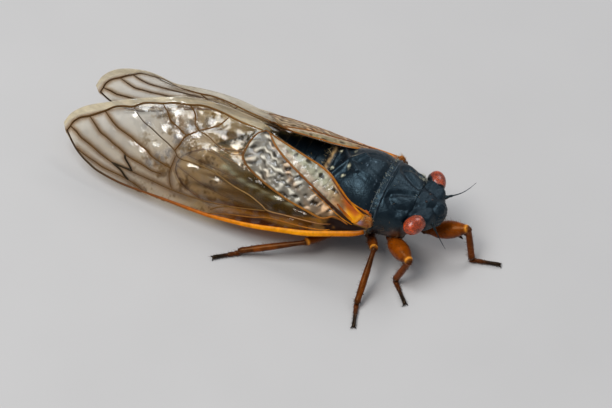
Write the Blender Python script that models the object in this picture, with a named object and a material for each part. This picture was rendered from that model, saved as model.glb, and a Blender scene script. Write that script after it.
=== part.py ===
"""Periodical cicada at rest, life size.

The model is built in metres with +X towards the head, +Y to the animal's left
and +Z up. Every size below is in millimetres in the body's own frame, whose
zero is on the floor below the roots of the fore wings; the last step moves
the whole animal so that the row's zero is under the middle of its box.
"""
import math

import bmesh
import bpy
import numpy as np
from mathutils import Matrix, Vector
from mathutils.geometry import delaunay_2d_cdt

MM = 0.001
GAP = 0.3
SIDES = {"right": -1.0, "left": 1.0}

# Head and body, seen from the side: x, height of the middle, half width,
# reach above the middle and reach below it.
HEAD = [(3.98, 6.9, 3.25, 2.62, 2.3), (4.6, 7.0, 3.4, 2.45, 2.3),
        (5.5, 7.1, 3.1, 2.2, 2.1), (6.25, 7.2, 2.55, 1.75, 1.6),
        (6.7, 7.3, 1.8, 1.1, 1.0)]
PRONOTUM = [(3.66, 7.0, 3.6, 2.7, 3.3), (3.1, 6.95, 4.2, 2.9, 3.7),
            (2.0, 6.9, 4.45, 3.1, 4.0), (0.7, 6.9, 4.7, 3.4, 4.1),
            (-0.1, 6.9, 5.0, 3.5, 4.1), (-0.5, 6.9, 4.95, 3.5, 4.0)]
MESONOTUM = [(-0.8, 7.0, 4.75, 3.45, 0.8), (-1.6, 7.0, 4.85, 3.95, 0.9),
             (-3.0, 7.0, 4.75, 4.2, 0.9), (-4.6, 7.0, 4.4, 3.9, 0.9),
             (-6.0, 7.0, 4.0, 3.3, 0.9), (-7.0, 7.0, 3.5, 2.9, 0.9)]
METANOTUM = [(-7.3, 6.8, 4.3, 2.9, 0.6), (-7.7, 6.8, 4.5, 2.95, 0.7),
             (-8.1, 6.8, 4.4, 2.6, 0.7)]
THORAX_UNDER = [(-0.8, 4.6, 4.3, 1.2, 1.4), (-1.6, 4.5, 4.5, 1.25, 1.9),
                (-3.4, 4.5, 4.5, 1.25, 2.0), (-5.6, 4.5, 4.4, 1.25, 2.0),
                (-7.4, 4.6, 4.2, 1.1, 1.9), (-8.1, 4.6, 4.0, 1.0, 1.8)]
ABDOMEN = [(-8.45, 5.4, 4.3, 3.5, 2.6), (-9.4, 5.3, 4.55, 3.6, 3.0),
           (-12.0, 5.1, 4.55, 3.5, 3.2), (-15.0, 4.8, 4.15, 3.2, 3.1),
           (-17.6, 4.5, 3.3, 2.6, 2.6), (-19.4, 4.2, 2.3, 1.9, 2.0)]
ABDOMEN_RINGS = 8
# How far each plate of the abdomen stands out at its rear edge, the share of
# that at its three rings, and the groove behind it.
PLATE_STEP = 0.16
PLATE_SWELL = (0.15, 0.6, 1.0)
GROOVE_WIDTH = 0.1
GROOVE_DEPTH = 0.2
# The raised cross on the back: its middle, where its arms end, and along each
# arm the share of the way, the height from the top and the radius.
CROSS_AT = (-5.5, 10.35)
CROSS_ARMS = [(1.5, 1.35), (1.5, -1.35), (-1.2, 2.0), (-1.2, -2.0)]
CROSS_LINE = [(0.0, -0.05, 0.5), (0.6, -0.12, 0.42), (1.0, -0.45, 0.3)]
TAIL = [(-19.75, 4.15, 1.9, 1.55, 1.6), (-20.6, 4.0, 1.45, 1.1, 1.3),
        (-21.6, 3.8, 0.85, 0.65, 0.9), (-22.2, 3.65, 0.3, 0.3, 0.4)]

EYE_AT = (4.75, 3.65, 8.3)
# Reach of an eye forwards, outwards and upwards; its outward axis leans back.
EYE_SIZE = (1.12, 1.51, 1.1)
EYE_LEAN = 24.0
CLYPEUS_AT = (6.0, 0.0, 7.1)
CLYPEUS_SIZE = (1.55, 1.8, 2.1)
CLYPEUS_TILT = 18.0
CLYPEUS_RIDGES = 9
CLYPEUS_RIB = 0.03
ROSTRUM = [(5.6, 0, 4.75, 0.62), (4.6, 0, 3.6, 0.5), (3.2, 0, 2.45, 0.42),
           (0.6, 0, 1.75, 0.34), (-1.4, 0, 1.6, 0.26)]
OCELLI = [(5.45, 0.0), (4.95, 0.62), (4.95, -0.62)]
OCELLUS_SIZE = 0.3
OCELLUS_HEIGHT = 9.3
OCELLUS_FALL = 0.32
OCELLUS_SIDE_FALL = 0.22

# Antennae: two thick joints, then a bristle. Each bristle points its own way.
ANTENNA_ROOT = (6.3, 2.0, 7.95)
ANTENNA_WAY = {"right": (2.8, 1.9, -1.5), "left": (3.0, 2.5, 1.9)}
ANTENNA_RADII = [(0.0, 0.44), (0.16, 0.36), (0.3, 0.27), (0.6, 0.25), (1.0, 0.2)]

# Legs: hip, trochanter, knee, ankle and the tips of the claws.
LEGS = {
    "fore_right": ((3.0, -1.9, 4.3), (1.9, -2.9, 3.4), (5.7, -6.5, 5.0),
                   (4.46, -6.37, 0.75), (6.95, -9.2, 0.3)),
    "fore_left": ((3.3, 1.7, 4.0), (5.3, 1.5, 2.6), (10.2, 1.4, 5.0),
                  (11.45, 0.85, 0.75), (15.1, 1.9, 0.3)),
    "mid_right": ((-1.7, -2.3, 3.9), (-0.2, -3.6, 3.2), (1.2, -6.6, 4.9),
                  (1.65, -11.9, 0.75), (2.61, -15.2, 0.3)),
    "mid_left": ((-1.7, 2.3, 3.9), (-1.2, 3.7, 3.3), (-0.2, 6.9, 5.4),
                 (-3.2, 8.3, 0.75), (-5.9, 9.6, 0.3)),
    "hind_right": ((-5.2, -2.2, 3.7), (-3.9, -3.6, 2.7), (-6.85, -8.0, 3.0),
                   (-13.9, -11.1, 0.75), (-16.65, -13.3, 0.3)),
    "hind_left": ((-5.2, 2.2, 3.7), (-4.4, 3.7, 2.8), (-7.5, 7.2, 3.2),
                  (-15.2, 8.4, 0.75), (-18.4, 9.2, 0.3)),
}
# Radii of each length: at its root, its thickest and its end.
LIMB_RADII = {
    "coxa": {"fore": (0.95, 0.95, 0.62), "mid": (1.15, 1.05, 0.6), "hind": (1.15, 1.05, 0.6)},
    "femur": {"fore": (0.5, 1.12, 0.56), "mid": (0.45, 0.62, 0.46), "hind": (0.45, 0.62, 0.46)},
    "tibia": {"fore": (0.44, 0.42, 0.42), "mid": (0.34, 0.34, 0.4), "hind": (0.32, 0.34, 0.42)},
}
LIMB_TRIM = 0.16
LIMB_SIDES = 10
# Spines below a fore femur: share of its length, reach, and radius at the root.
FEMUR_SPINES = [(0.42, 1.17, 0.3), (0.66, 1.4, 0.36), (0.84, 1.15, 0.3)]
SPINE_SINK = 0.35
SPINE_LEAN = 0.42
# Spurs of a tibia: how many, where the last pair stands and the step to the next.
TIBIA_SPURS = {"fore": 2, "mid": 4, "hind": 6}
SPUR_AT = 0.92
SPUR_STEP = 0.16
SPUR_OUT = 0.54
SPUR_ALONG = 0.38
SPUR_SPREAD = 0.35
SPUR_SINK = 0.12
SPUR_RADIUS = 0.2
# The foot: its middle height, the share of it before the claws, the radius of
# its joints and of the waists between them, and its claws.
HEEL_HEIGHT = 0.32
FOOT_SHARE = 0.78
FOOT_LINE = [(0.0, 0.34), (0.2, 0.34), (0.3, 0.3), (0.42, 0.34), (0.55, 0.3), (0.8, 0.36),
             (1.0, 0.29)]
CLAW_RADIUS = 0.22
CLAW_SPREAD = 0.42
CLAW_ROOT = 0.12
CLAW_ARCH = (0.15, 0.18)
TIP_HEIGHT = 0.12
# A spine or claw: share of its length at the bend, and its radius there and at the tip.
SPIKE_BEND = 0.55
SPIKE_TAPER = (0.72, 0.28)
END_BULGE = 0.35

# Wings. Points on a wing are (run from the root, height across) in millimetres
# on the wing laid flat, the front margin below zero and the hind margin above.
WING_SHEET = 0.5
VEIN_HEIGHT = 0.22
WING_LENGTH = 39.5
FORE_ROOT = (0.0, -5.5, 6.5)
FORE_TIP = {"right": (-39.3, -6.1, 3.7), "left": (-38.5, -3.3, 3.45)}
ROOF_AT_ROOT = 42.0
ROOF_AT_TIP = {"right": 46.0, "left": 66.0}
ROOF_TURN = 1.7
# The far wing is twisted once more towards its tip, from this share of its
# length on: by how many degrees, how sharply, and how far its line is carried.
TWIST = {"right": 0.0, "left": 42.0}
TWIST_START = 0.62
TWIST_POWER = 1.6
TWIST_SWAY = {"right": (0.0, 0.0, 0.0), "left": (0.3, 2.0, 0.1)}
# The far wing rides up over the near one between these shares of its length.
MID_RISE = {"right": 0.0, "left": 0.75}
MID_RISE_SPAN = (0.22, 0.88)
CAMBER = 1.6
CAMBER_MID = 1.8
CAMBER_REACH = 6.6
CAMBER_AT_ROOT = 0.5
MIDLINE_CLEARANCE = 0.45
MIDLINE_BEND = 0.4
COSTA = [(0.4, -0.5), (2.0, -1.25), (5.0, -2.25), (9.0, -3.15), (13.0, -3.85),
         (17.0, -4.35), (21.0, -4.5), (26.0, -4.4), (31.0, -4.2), (34.0, -3.65),
         (36.0, -2.75), (37.8, -1.45), (39.4, -0.05)]
OUTER_EDGE = [(39.9, 1.0), (39.3, 2.4), (37.6, 3.9), (35.0, 5.1), (32.0, 6.4),
              (28.5, 7.6), (25.0, 8.6), (21.0, 8.8), (17.5, 8.1)]
INNER_EDGE = [(15.5, 7.65), (12.0, 6.7), (9.0, 6.0), (6.6, 5.2), (4.6, 3.7),
              (3.0, 2.7), (1.4, 2.3), (0.2, 1.9)]
FORE_VEINS = {
    "costa": (0.62, [(0.6, -0.45), (5.0, -1.95), (9.0, -2.85), (13.0, -3.5), (17.0, -3.9),
                     (22.0, -4.0), (28.0, -3.9), (31.0, -3.75), (34.0, -3.2), (36.4, -2.05),
                     (38.0, -0.85), (39.0, 0.35)]),
    "ambient": (0.34, [(39.0, 0.35), (38.8, 1.4), (37.9, 2.2), (36.8, 2.65), (35.1, 3.8),
                       (33.8, 4.8), (32.1, 5.35), (30.4, 6.2), (28.5, 6.75), (25.5, 7.6),
                       (23.4, 8.0), (19.5, 7.7), (15.7, 7.3)]),
    "first": (0.34, [(38.9, 0.6), (36.8, -0.4), (34.6, -1.2), (32.3, -1.9), (30.3, -3.05)]),
    "second": (0.34, [(36.8, 2.6), (35.0, 1.1), (32.5, 0.1), (31.3, -0.2), (30.0, -1.9)]),
    "third": (0.34, [(35.1, 3.8), (33.0, 2.4), (31.0, 1.7), (28.6, 0.8)]),
    "fourth": (0.34, [(32.0, 5.3), (30.0, 3.8), (28.0, 3.0), (26.1, 2.1), (24.8, 1.3)]),
    "fifth": (0.34, [(28.5, 6.7), (27.6, 5.6), (26.0, 4.7), (24.4, 4.1)]),
    "sixth": (0.34, [(25.4, 7.6), (24.2, 6.5), (23.4, 5.0), (24.7, 4.0)]),
    "cross": (0.34, [(23.4, 5.0), (22.0, 5.8), (21.0, 6.6)]),
    "radius": (0.4, [(5.8, -1.35), (9.0, -2.1), (13.0, -2.9), (17.0, -3.3)]),
    "sector": (0.34, [(17.4, -2.4), (20.5, -2.8), (24.5, -2.75), (28.0, -2.35), (32.2, -1.95)]),
    "media": (0.34, [(6.2, -1.1), (12.3, -1.5), (17.0, -0.1), (20.0, 0.75), (24.6, 1.2)]),
    "loop": (0.38, [(4.0, 0.3), (5.8, -0.35), (9.5, 0.3), (12.5, 1.1), (15.4, 2.1), (17.2, 3.5),
                    (17.1, 5.2), (16.3, 7.0), (15.6, 7.45)]),
    "suture": (0.42, [(3.4, 0.5), (7.0, 2.3), (11.0, 4.1), (13.8, 5.7), (15.2, 7.0)]),
}
HIND_EDGE = [(2.6, -0.9), (7.0, -2.3), (13.0, -3.2), (19.0, -3.3), (23.4, -2.2), (25.3, -0.2),
             (25.2, 1.6), (22.6, 3.6), (19.0, 4.8), (15.0, 5.1), (11.0, 4.6), (7.4, 3.4),
             (4.4, 2.0), (2.9, 1.0)]
HIND_VEINS = {
    "costa": (0.4, [(3.2, -0.6), (8.0, -2.1), (13.5, -2.8), (19.0, -2.8), (23.0, -1.6),
                    (24.6, -0.2)]),
    "ambient": (0.34, [(24.6, -0.2), (24.2, 1.4), (21.8, 3.2), (18.0, 4.2), (14.0, 4.5)]),
    "fan_1": (0.34, [(3.6, -0.2), (10.0, -1.2), (17.0, -1.5), (24.4, 0.6)]),
    "fan_2": (0.34, [(3.8, 0.1), (10.0, 0.4), (16.0, 1.0), (22.2, 2.8)]),
    "fan_3": (0.34, [(3.9, 0.4), (9.0, 1.9), (14.0, 2.9), (18.2, 4.1)]),
}
HIND_DROP = 0.82
VEIN_STEP = 2.6
EDGE_STEP = 2.2
GRID_STEP = 3.0
CLEAR_OF_VEIN = 1.0
CLEAR_OF_EDGE = 0.8

COLOURS = {
    "cuticle": (0.012, 0.017, 0.024, 0.42), "eye": (0.62, 0.07, 0.035, 0.18),
    "leg": (0.38, 0.11, 0.02, 0.4), "dark_leg": (0.05, 0.02, 0.012, 0.45),
    "antenna": (0.02, 0.013, 0.01, 0.5), "wing": (0.55, 0.44, 0.3, 0.3),
}


def smooth_table(rows, count):
    """Rows of numbers read at even steps from a smooth curve through them."""
    rows = np.array(rows, dtype=float)
    ends = np.vstack([2 * rows[0] - rows[1], rows, 2 * rows[-1] - rows[-2]])
    out = []
    for k in range(count):
        at = k * (len(rows) - 1) / (count - 1)
        i = min(int(at), len(rows) - 2)
        t = at - i
        p0, p1, p2, p3 = ends[i:i + 4]
        out.append(0.5 * (2 * p1 + (p2 - p0) * t + (2 * p0 - 5 * p1 + 4 * p2 - p3) * t * t
                          + (3 * p1 - p0 - 3 * p2 + p3) * t ** 3))
    return out


def material(key):
    """The Principled material of one finish, made once."""
    found = bpy.data.materials.get(key)
    if found:
        return found
    red, green, blue, rough = COLOURS[key]
    made = bpy.data.materials.new(key)
    made.use_nodes = True
    shader = made.node_tree.nodes["Principled BSDF"]
    shader.inputs["Base Color"].default_value = (red, green, blue, 1.0)
    shader.inputs["Roughness"].default_value = rough
    shader.inputs["Metallic"].default_value = 0.0
    return made


def add_object(name, bm, finish):
    """A mesh object from a bmesh whose sizes are millimetres.

    Without a finish it is a cutter, which is not part of the animal.
    """
    bmesh.ops.recalc_face_normals(bm, faces=bm.faces)
    mesh = bpy.data.meshes.new(name)
    bm.to_mesh(mesh)
    bm.free()
    mesh.transform(Matrix.Scale(MM, 4))
    made = bpy.data.objects.new(name, mesh)
    if finish is None:
        bpy.data.collections["cutters"].objects.link(made)
        made.hide_render = True
        made.display_type = "WIRE"
        return made
    mesh.materials.append(material(finish))
    mesh.shade_smooth()
    bpy.data.collections["cicada"].objects.link(made)
    made.parent = bpy.data.objects["cicada_zero"]
    return made


def loft(bm, rings, start, end):
    """Faces between like rings of points, closed by a point at each end."""
    loops = [[bm.verts.new(point) for point in ring] for ring in rings]
    count = len(loops[0])
    for one, two in zip(loops, loops[1:]):
        for k in range(count):
            bm.faces.new((one[k], one[(k + 1) % count], two[(k + 1) % count], two[k]))
    for loop, tip in ((loops[0], start), (loops[-1], end)):
        pole = bm.verts.new(tip)
        for k in range(count):
            bm.faces.new((loop[k], loop[(k + 1) % count], pole))


def body_ring(row, sides, power=2.2):
    """One cross-section of the body, rounder above and flatter below."""
    x, middle, half, up, down = row
    ring = []
    for k in range(sides):
        turn = math.tau * k / sides
        cos, sin = math.cos(turn), math.sin(turn)
        y = half * math.copysign(abs(cos) ** (2 / power), cos)
        reach = up if sin > 0 else down
        ring.append((x, y, middle + reach * math.copysign(abs(sin) ** (2 / power), sin)))
    return ring


def body_part(name, rows, count, sides=24, finish="cuticle"):
    """One length of the body between two flat ends."""
    bm = bmesh.new()
    rings = [body_ring(row, sides) for row in smooth_table(rows, count)]
    front, back = rows[0], rows[-1]
    loft(bm, rings, (front[0], 0, front[1]), (back[0], 0, back[1]))
    return add_object(name, bm, finish)


def body_cutter(rows, count=12):
    """A length of the body made larger all round by the gap."""
    grown = [[x, middle, half + GAP, up + GAP, down + GAP] for x, middle, half, up, down in rows]
    grown[0][0] += GAP * math.copysign(1, rows[0][0] - rows[-1][0])
    grown[-1][0] -= GAP * math.copysign(1, rows[0][0] - rows[-1][0])
    return body_part("body_cutter", grown, count, finish=None)


def cut_by(piece, cutters):
    """Cuts a piece back from its neighbours' cutters."""
    for cutter in cutters:
        apply_boolean(piece, "DIFFERENCE", other=cutter)


def drop(objects):
    """Removes cutters that are no longer needed."""
    for old in objects:
        bpy.data.objects.remove(old)


def apply_boolean(piece, operation, other=None, group=None, solver="EXACT"):
    """One Boolean on a piece, applied, with only its largest closed surface kept."""
    step = piece.modifiers.new(operation, "BOOLEAN")
    step.operation = operation
    step.solver = solver
    if group:
        step.operand_type = "COLLECTION"
        step.collection = group
    else:
        step.object = other
    bpy.context.view_layer.update()
    graph = bpy.context.evaluated_depsgraph_get()
    mesh = bpy.data.meshes.new_from_object(piece.evaluated_get(graph))
    piece.modifiers.remove(step)
    piece.data = mesh
    keep_largest(mesh)


def keep_largest(mesh):
    """Drops every closed surface of a mesh but the largest."""
    bm = bmesh.new()
    bm.from_mesh(mesh)
    bmesh.ops.remove_doubles(bm, verts=bm.verts, dist=1e-7)
    bm.verts.ensure_lookup_table()
    unseen = set(bm.verts)
    shells = []
    while unseen:
        shell = {unseen.pop()}
        edge = list(shell)
        while edge:
            near = {link.other_vert(vert) for vert in edge for link in vert.link_edges}
            edge = list(near - shell)
            shell |= near
        unseen -= shell
        shells.append(shell)
    shells.sort(key=len)
    extra = [vert for shell in shells[:-1] for vert in shell]
    bmesh.ops.delete(bm, geom=extra, context="VERTS")
    bm.to_mesh(mesh)
    bm.free()


def join(piece, extras):
    """Joins small closed pieces to the one that they grow from."""
    group = bpy.data.collections.new("joined")
    bpy.context.scene.collection.children.link(group)
    for extra in extras:
        bpy.data.collections["cicada"].objects.unlink(extra)
        group.objects.link(extra)
    apply_boolean(piece, "UNION", group=group)
    for extra in extras:
        bpy.data.objects.remove(extra)
    bpy.data.collections.remove(group)


def tube_cutter(points, sides=LIMB_SIDES):
    """A limb made larger all round by the gap."""
    grown = [(x, y, z, radius + GAP) for x, y, z, radius in points]
    return tube("tube_cutter", grown, None, sides)


def tube(name, points, finish, sides=LIMB_SIDES):
    """A tapering limb along points that each give x, y, z and a radius."""
    bm = bmesh.new()
    places = [Vector(point[:3]) for point in points]
    rings = []
    across = None
    for i, (place, point) in enumerate(zip(places, points)):
        ahead = places[min(i + 1, len(places) - 1)] - places[max(i - 1, 0)]
        ahead.normalize()
        if across is None:
            across = ahead.orthogonal().normalized()
        across = (across - ahead * across.dot(ahead)).normalized()
        other = ahead.cross(across)
        ring = []
        for k in range(sides):
            turn = math.tau * k / sides
            ring.append(place + point[3] * (across * math.cos(turn) + other * math.sin(turn)))
        rings.append(ring)
    first = places[0] + (places[0] - places[1]).normalized() * points[0][3] * END_BULGE
    last = places[-1] + (places[-1] - places[-2]).normalized() * points[-1][3] * END_BULGE
    loft(bm, rings, first, last)
    return add_object(name, bm, finish)


def spike(name, root, tip, radius, finish, bend=None):
    """A spine or claw that tapers from its root to a blunt tip."""
    root, tip = Vector(root), Vector(tip)
    middle = root.lerp(tip, SPIKE_BEND)
    if bend is not None:
        middle += Vector(bend)
    points = [(*root, radius), (*middle, radius * SPIKE_TAPER[0]), (*tip, radius * SPIKE_TAPER[1])]
    return tube(name, points, finish, sides=5)


def ellipsoid(name, place, size, finish, segments=16, rings=9, lean=0.0):
    """An egg shape, for an eye or a cutter, turned by its lean in degrees."""
    bm = bmesh.new()
    bmesh.ops.create_uvsphere(bm, u_segments=segments, v_segments=rings, radius=1.0)
    bmesh.ops.scale(bm, vec=size, verts=bm.verts)
    bmesh.ops.rotate(bm, verts=bm.verts, matrix=Matrix.Rotation(math.radians(lean), 3, "Z"))
    bmesh.ops.translate(bm, vec=place, verts=bm.verts)
    return add_object(name, bm, finish)


def make_head():
    """The head capsule with its simple eyes, cut clear of the eyes and face.

    It gives back the cutter of the face and those of the two eyes.
    """
    head = body_part("head", HEAD, 8)
    face = make_clypeus("face_cutter", None, GAP)
    make_clypeus("clypeus", "cuticle", 0.0)
    eye_cutters = []
    for side, sign in SIDES.items():
        place = (EYE_AT[0], sign * EYE_AT[1], EYE_AT[2])
        lean = sign * EYE_LEAN
        ellipsoid("eye_" + side, place, EYE_SIZE, "eye", lean=lean)
        grown = [size + GAP for size in EYE_SIZE]
        eye_cutters.append(ellipsoid("eye_cutter", place, grown, None, lean=lean))
    ocelli = []
    for k, (x, y) in enumerate(OCELLI):
        height = OCELLUS_HEIGHT - OCELLUS_FALL * (x - OCELLI[1][0]) - OCELLUS_SIDE_FALL * y * y
        ocelli.append(ellipsoid(f"ocellus_{k}", (x, y, height), [OCELLUS_SIZE] * 3, "eye", 8, 6))
    join(head, ocelli)
    cut_by(head, [face] + eye_cutters)
    capsule = body_cutter(HEAD)
    for side, sign in SIDES.items():
        root = Vector((ANTENNA_ROOT[0], sign * ANTENNA_ROOT[1], ANTENNA_ROOT[2]))
        way = Vector(ANTENNA_WAY[side])
        way.y *= sign
        points = [(*(root + way * share), radius) for share, radius in ANTENNA_RADII]
        antenna = tube("antenna_" + side, points, "antenna", sides=8)
        cut_by(antenna, [capsule, face])
    rostrum = tube("rostrum", ROSTRUM, "dark_leg", sides=10)
    cut_by(rostrum, [face, capsule])
    drop([capsule])
    return face, eye_cutters


def make_clypeus(name, finish, grow):
    """The swollen face plate, ribbed across on both sides of a smooth middle."""
    bm = bmesh.new()
    rings = CLYPEUS_RIDGES * 2 if finish else CLYPEUS_RIDGES
    bmesh.ops.create_uvsphere(bm, u_segments=18, v_segments=rings, radius=1.0)
    for vert in bm.verts:
        ribs = math.cos(math.pi * CLYPEUS_RIDGES * math.acos(vert.co.z) / math.pi * 2)
        fade = min(1.0, abs(vert.co.y) * 2.2) * (1 - vert.co.z ** 2)
        vert.co *= 1.0 + (CLYPEUS_RIB * ribs * fade if finish else CLYPEUS_RIB)
    bmesh.ops.scale(bm, vec=[size + grow for size in CLYPEUS_SIZE], verts=bm.verts)
    bmesh.ops.rotate(bm, cent=(0, 0, 0), verts=bm.verts,
                     matrix=Matrix.Rotation(math.radians(CLYPEUS_TILT), 3, "Y"))
    bmesh.ops.translate(bm, vec=CLYPEUS_AT, verts=bm.verts)
    return add_object(name, bm, finish)


def make_mesonotum():
    """The great back plate with its raised cross at the rear."""
    back = body_part("mesonotum", MESONOTUM, 13)
    arms = []
    x, top = CROSS_AT
    for k, (dx, dy) in enumerate(CROSS_ARMS):
        points = [(x + dx * share, dy * share, top + rise, radius)
                  for share, rise, radius in CROSS_LINE]
        arms.append(tube(f"arm_{k}", points, "cuticle", sides=8))
    join(back, arms)
    return back


def make_abdomen():
    """Overlapping plates: each is a little wider at its rear edge."""
    rows = smooth_table(ABDOMEN, ABDOMEN_RINGS * 3 + 1)
    stepped = []
    for k, row in enumerate(rows):
        x, middle, half, up, down = row
        swell = PLATE_STEP * PLATE_SWELL[k % 3]
        stepped.append((x, middle, half + swell, up + swell, down + swell))
        if k % 3 == 2:
            dip = PLATE_STEP * GROOVE_DEPTH
            stepped.append((x - GROOVE_WIDTH, middle, half - dip, up - dip, down - dip))
    bm = bmesh.new()
    rings = [body_ring(row, 22) for row in stepped]
    front, back = stepped[0], stepped[-1]
    loft(bm, rings, (front[0], 0, front[1]), (back[0], 0, back[1]))
    return add_object("abdomen", bm, "cuticle")


def limb_points(start, end, radii):
    """Points along one length of a leg, its thickest past the middle."""
    start, end = Vector(start), Vector(end)
    along = (end - start).normalized()
    first, last = start + along * LIMB_TRIM, end - along * LIMB_TRIM
    root, thick, tip = radii
    shares = ((0.0, root * 0.8), (0.12, root), (0.5, thick), (0.8, (thick + tip) / 2),
              (0.94, tip), (1.0, tip * 0.8))
    return [(*first.lerp(last, share), radius) for share, radius in shares]


def make_leg(name, joints, thorax):
    """One leg: coxa, femur, tibia and tarsus with claws, each its own solid."""
    pair = name.split("_")[0]
    hip, turn, knee, ankle, toe = (Vector(point) for point in joints)
    coxa_line = limb_points(hip, turn, LIMB_RADII["coxa"][pair])
    femur_line = limb_points(turn, knee, LIMB_RADII["femur"][pair])
    tibia_line = limb_points(knee, ankle, LIMB_RADII["tibia"][pair])
    coxa_cutter, femur_cutter, tibia_cutter = (
        tube_cutter(line) for line in (coxa_line, femur_line, tibia_line))
    coxa = tube("coxa_" + name, coxa_line, "dark_leg")
    cut_by(coxa, thorax)
    femur = tube("femur_" + name, femur_line, "leg")
    if pair == "fore":
        spines = femur_spines(turn, knee)
        for spine in spines:
            cut_by(spine, [tibia_cutter])
        join(femur, spines)
    cut_by(femur, thorax + [coxa_cutter])
    tibia = tube("tibia_" + name, tibia_line, "leg")
    cut_by(tibia, [femur_cutter])
    join(tibia, tibia_spurs(knee, ankle, TIBIA_SPURS[pair]))
    tarsus = make_tarsus(name, ankle, toe)
    cut_by(tarsus, [tibia_cutter])
    flatten_foot(tarsus)
    drop([coxa_cutter, femur_cutter, tibia_cutter])


def femur_spines(turn, knee):
    """The digging spines below a fore femur."""
    along = (knee - turn).normalized()
    down = (Vector((0, 0, -1)) + along * along.z).normalized()
    spines = []
    for k, (share, reach, radius) in enumerate(FEMUR_SPINES):
        root = turn.lerp(knee, share) + down * SPINE_SINK
        tip = root + (down + along * SPINE_LEAN) * reach
        spines.append(spike(f"spine_{k}", root, tip, radius, "leg"))
    return spines


def tibia_spurs(knee, ankle, count):
    """Short spurs along and round the far end of a tibia."""
    along = (ankle - knee).normalized()
    side = along.cross(Vector((0, 0, 1))).normalized()
    other = along.cross(side)
    spurs = []
    for k in range(count):
        row = k // 2
        sign = 1 if k % 2 else -1
        out = (side * sign + other * SPUR_SPREAD * (-1) ** row).normalized()
        root = knee.lerp(ankle, SPUR_AT - SPUR_STEP * row) + out * SPUR_SINK
        tip = root + out * SPUR_OUT + along * SPUR_ALONG
        tip.z = max(tip.z, TIP_HEIGHT)
        spurs.append(spike(f"spur_{k}", root, tip, SPUR_RADIUS, "leg"))
    return spurs


def make_tarsus(name, ankle, toe):
    """The foot: three joints that lie on the floor and two hooked claws."""
    heel = Vector((ankle.x, ankle.y, HEEL_HEIGHT))
    end = heel.lerp(toe, FOOT_SHARE)
    points = [(*heel.lerp(end, share), radius) for share, radius in FOOT_LINE]
    tarsus = tube("tarsus_" + name, points, "dark_leg", sides=8)
    along = (toe - heel).normalized()
    side = along.cross(Vector((0, 0, 1))).normalized()
    claws = []
    for sign in (-1, 1):
        root = end - along * CLAW_RADIUS + side * sign * CLAW_ROOT
        tip = toe + side * sign * CLAW_SPREAD
        tip.z = TIP_HEIGHT
        bend = side * sign * CLAW_ARCH[0] + Vector((0, 0, CLAW_ARCH[1]))
        claws.append(spike(f"claw_{sign}", root, tip, CLAW_RADIUS, "dark_leg", bend))
    join(tarsus, claws)
    return tarsus


def flatten_foot(foot):
    """Cuts a foot level with the floor, so that it stands on small flats."""
    bm = bmesh.new()
    bm.from_mesh(foot.data)
    bmesh.ops.bisect_plane(bm, geom=bm.verts[:] + bm.edges[:] + bm.faces[:], plane_co=(0, 0, 0),
                           plane_no=(0, 0, -1), clear_outer=True)
    bmesh.ops.holes_fill(bm, edges=[edge for edge in bm.edges if edge.is_boundary])
    bmesh.ops.recalc_face_normals(bm, faces=bm.faces)
    bm.to_mesh(foot.data)
    bm.free()
    keep_largest(foot.data)


def wing_point(side, run, height, lift):
    """Where a point of a flat wing lies on the folded wing, body millimetres."""
    root = np.array(FORE_ROOT)
    tip = np.array(FORE_TIP[side])
    share = run / WING_LENGTH
    along = (tip - root) / np.linalg.norm(tip - root)
    turn = max(0.0, share) ** ROOF_TURN
    late = max(0.0, (share - TWIST_START) / (1 - TWIST_START)) ** TWIST_POWER
    roof = ROOF_AT_ROOT + (ROOF_AT_TIP[side] - ROOF_AT_ROOT) * turn + TWIST[side] * late
    roof = math.radians(roof)
    up = np.array([0.0, math.cos(roof), math.sin(roof)])
    up -= along * along.dot(up)
    up /= np.linalg.norm(up)
    out = np.cross(up, along)
    arch = 1 - ((height - CAMBER_MID) / CAMBER_REACH) ** 2
    bow = CAMBER * arch * min(1.0, CAMBER_AT_ROOT + 2 * share) * (1 - share ** 3)
    place = root + (tip - root) * share + np.array(TWIST_SWAY[side]) * late
    place += up * height + out * (bow + lift)
    over = place[1] + MIDLINE_CLEARANCE + MIDLINE_BEND
    if over > 0:
        place[1] = -MIDLINE_CLEARANCE - MIDLINE_BEND * math.exp(-over / MIDLINE_BEND)
        place[2] += over / 2
    start, end = MID_RISE_SPAN
    middle = min(1.0, max(0.0, (share - start) / (end - start)))
    place[2] += MID_RISE[side] * math.sin(math.pi * middle)
    if side == "left":
        place[1] = -place[1]
    return Vector(place)


def distance_to(point, line):
    """Distance of a flat point from a line of points."""
    best = 1e9
    for (ax, ay), (bx, by) in zip(line, line[1:]):
        dx, dy = bx - ax, by - ay
        t = ((point[0] - ax) * dx + (point[1] - ay) * dy) / (dx * dx + dy * dy)
        t = min(1.0, max(0.0, t))
        best = min(best, math.hypot(point[0] - ax - t * dx, point[1] - ay - t * dy))
    return best


def even_line(points, step):
    """Points at about even steps on a smooth line through the given ones."""
    length = sum(math.dist(a, b) for a, b in zip(points, points[1:]))
    count = max(3, round(length / step) + 1)
    fine = smooth_table(points, len(points) * 8)
    marks = [0.0]
    for a, b in zip(fine, fine[1:]):
        marks.append(marks[-1] + math.dist(a, b))
    out = []
    for k in range(count):
        want = marks[-1] * k / (count - 1)
        i = min(int(np.searchsorted(marks, want)), len(fine) - 1)
        j = max(i - 1, 0)
        t = 0.0 if i == j else (want - marks[j]) / (marks[i] - marks[j])
        out.append(tuple(fine[j] + (fine[i] - fine[j]) * t))
    return out


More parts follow.
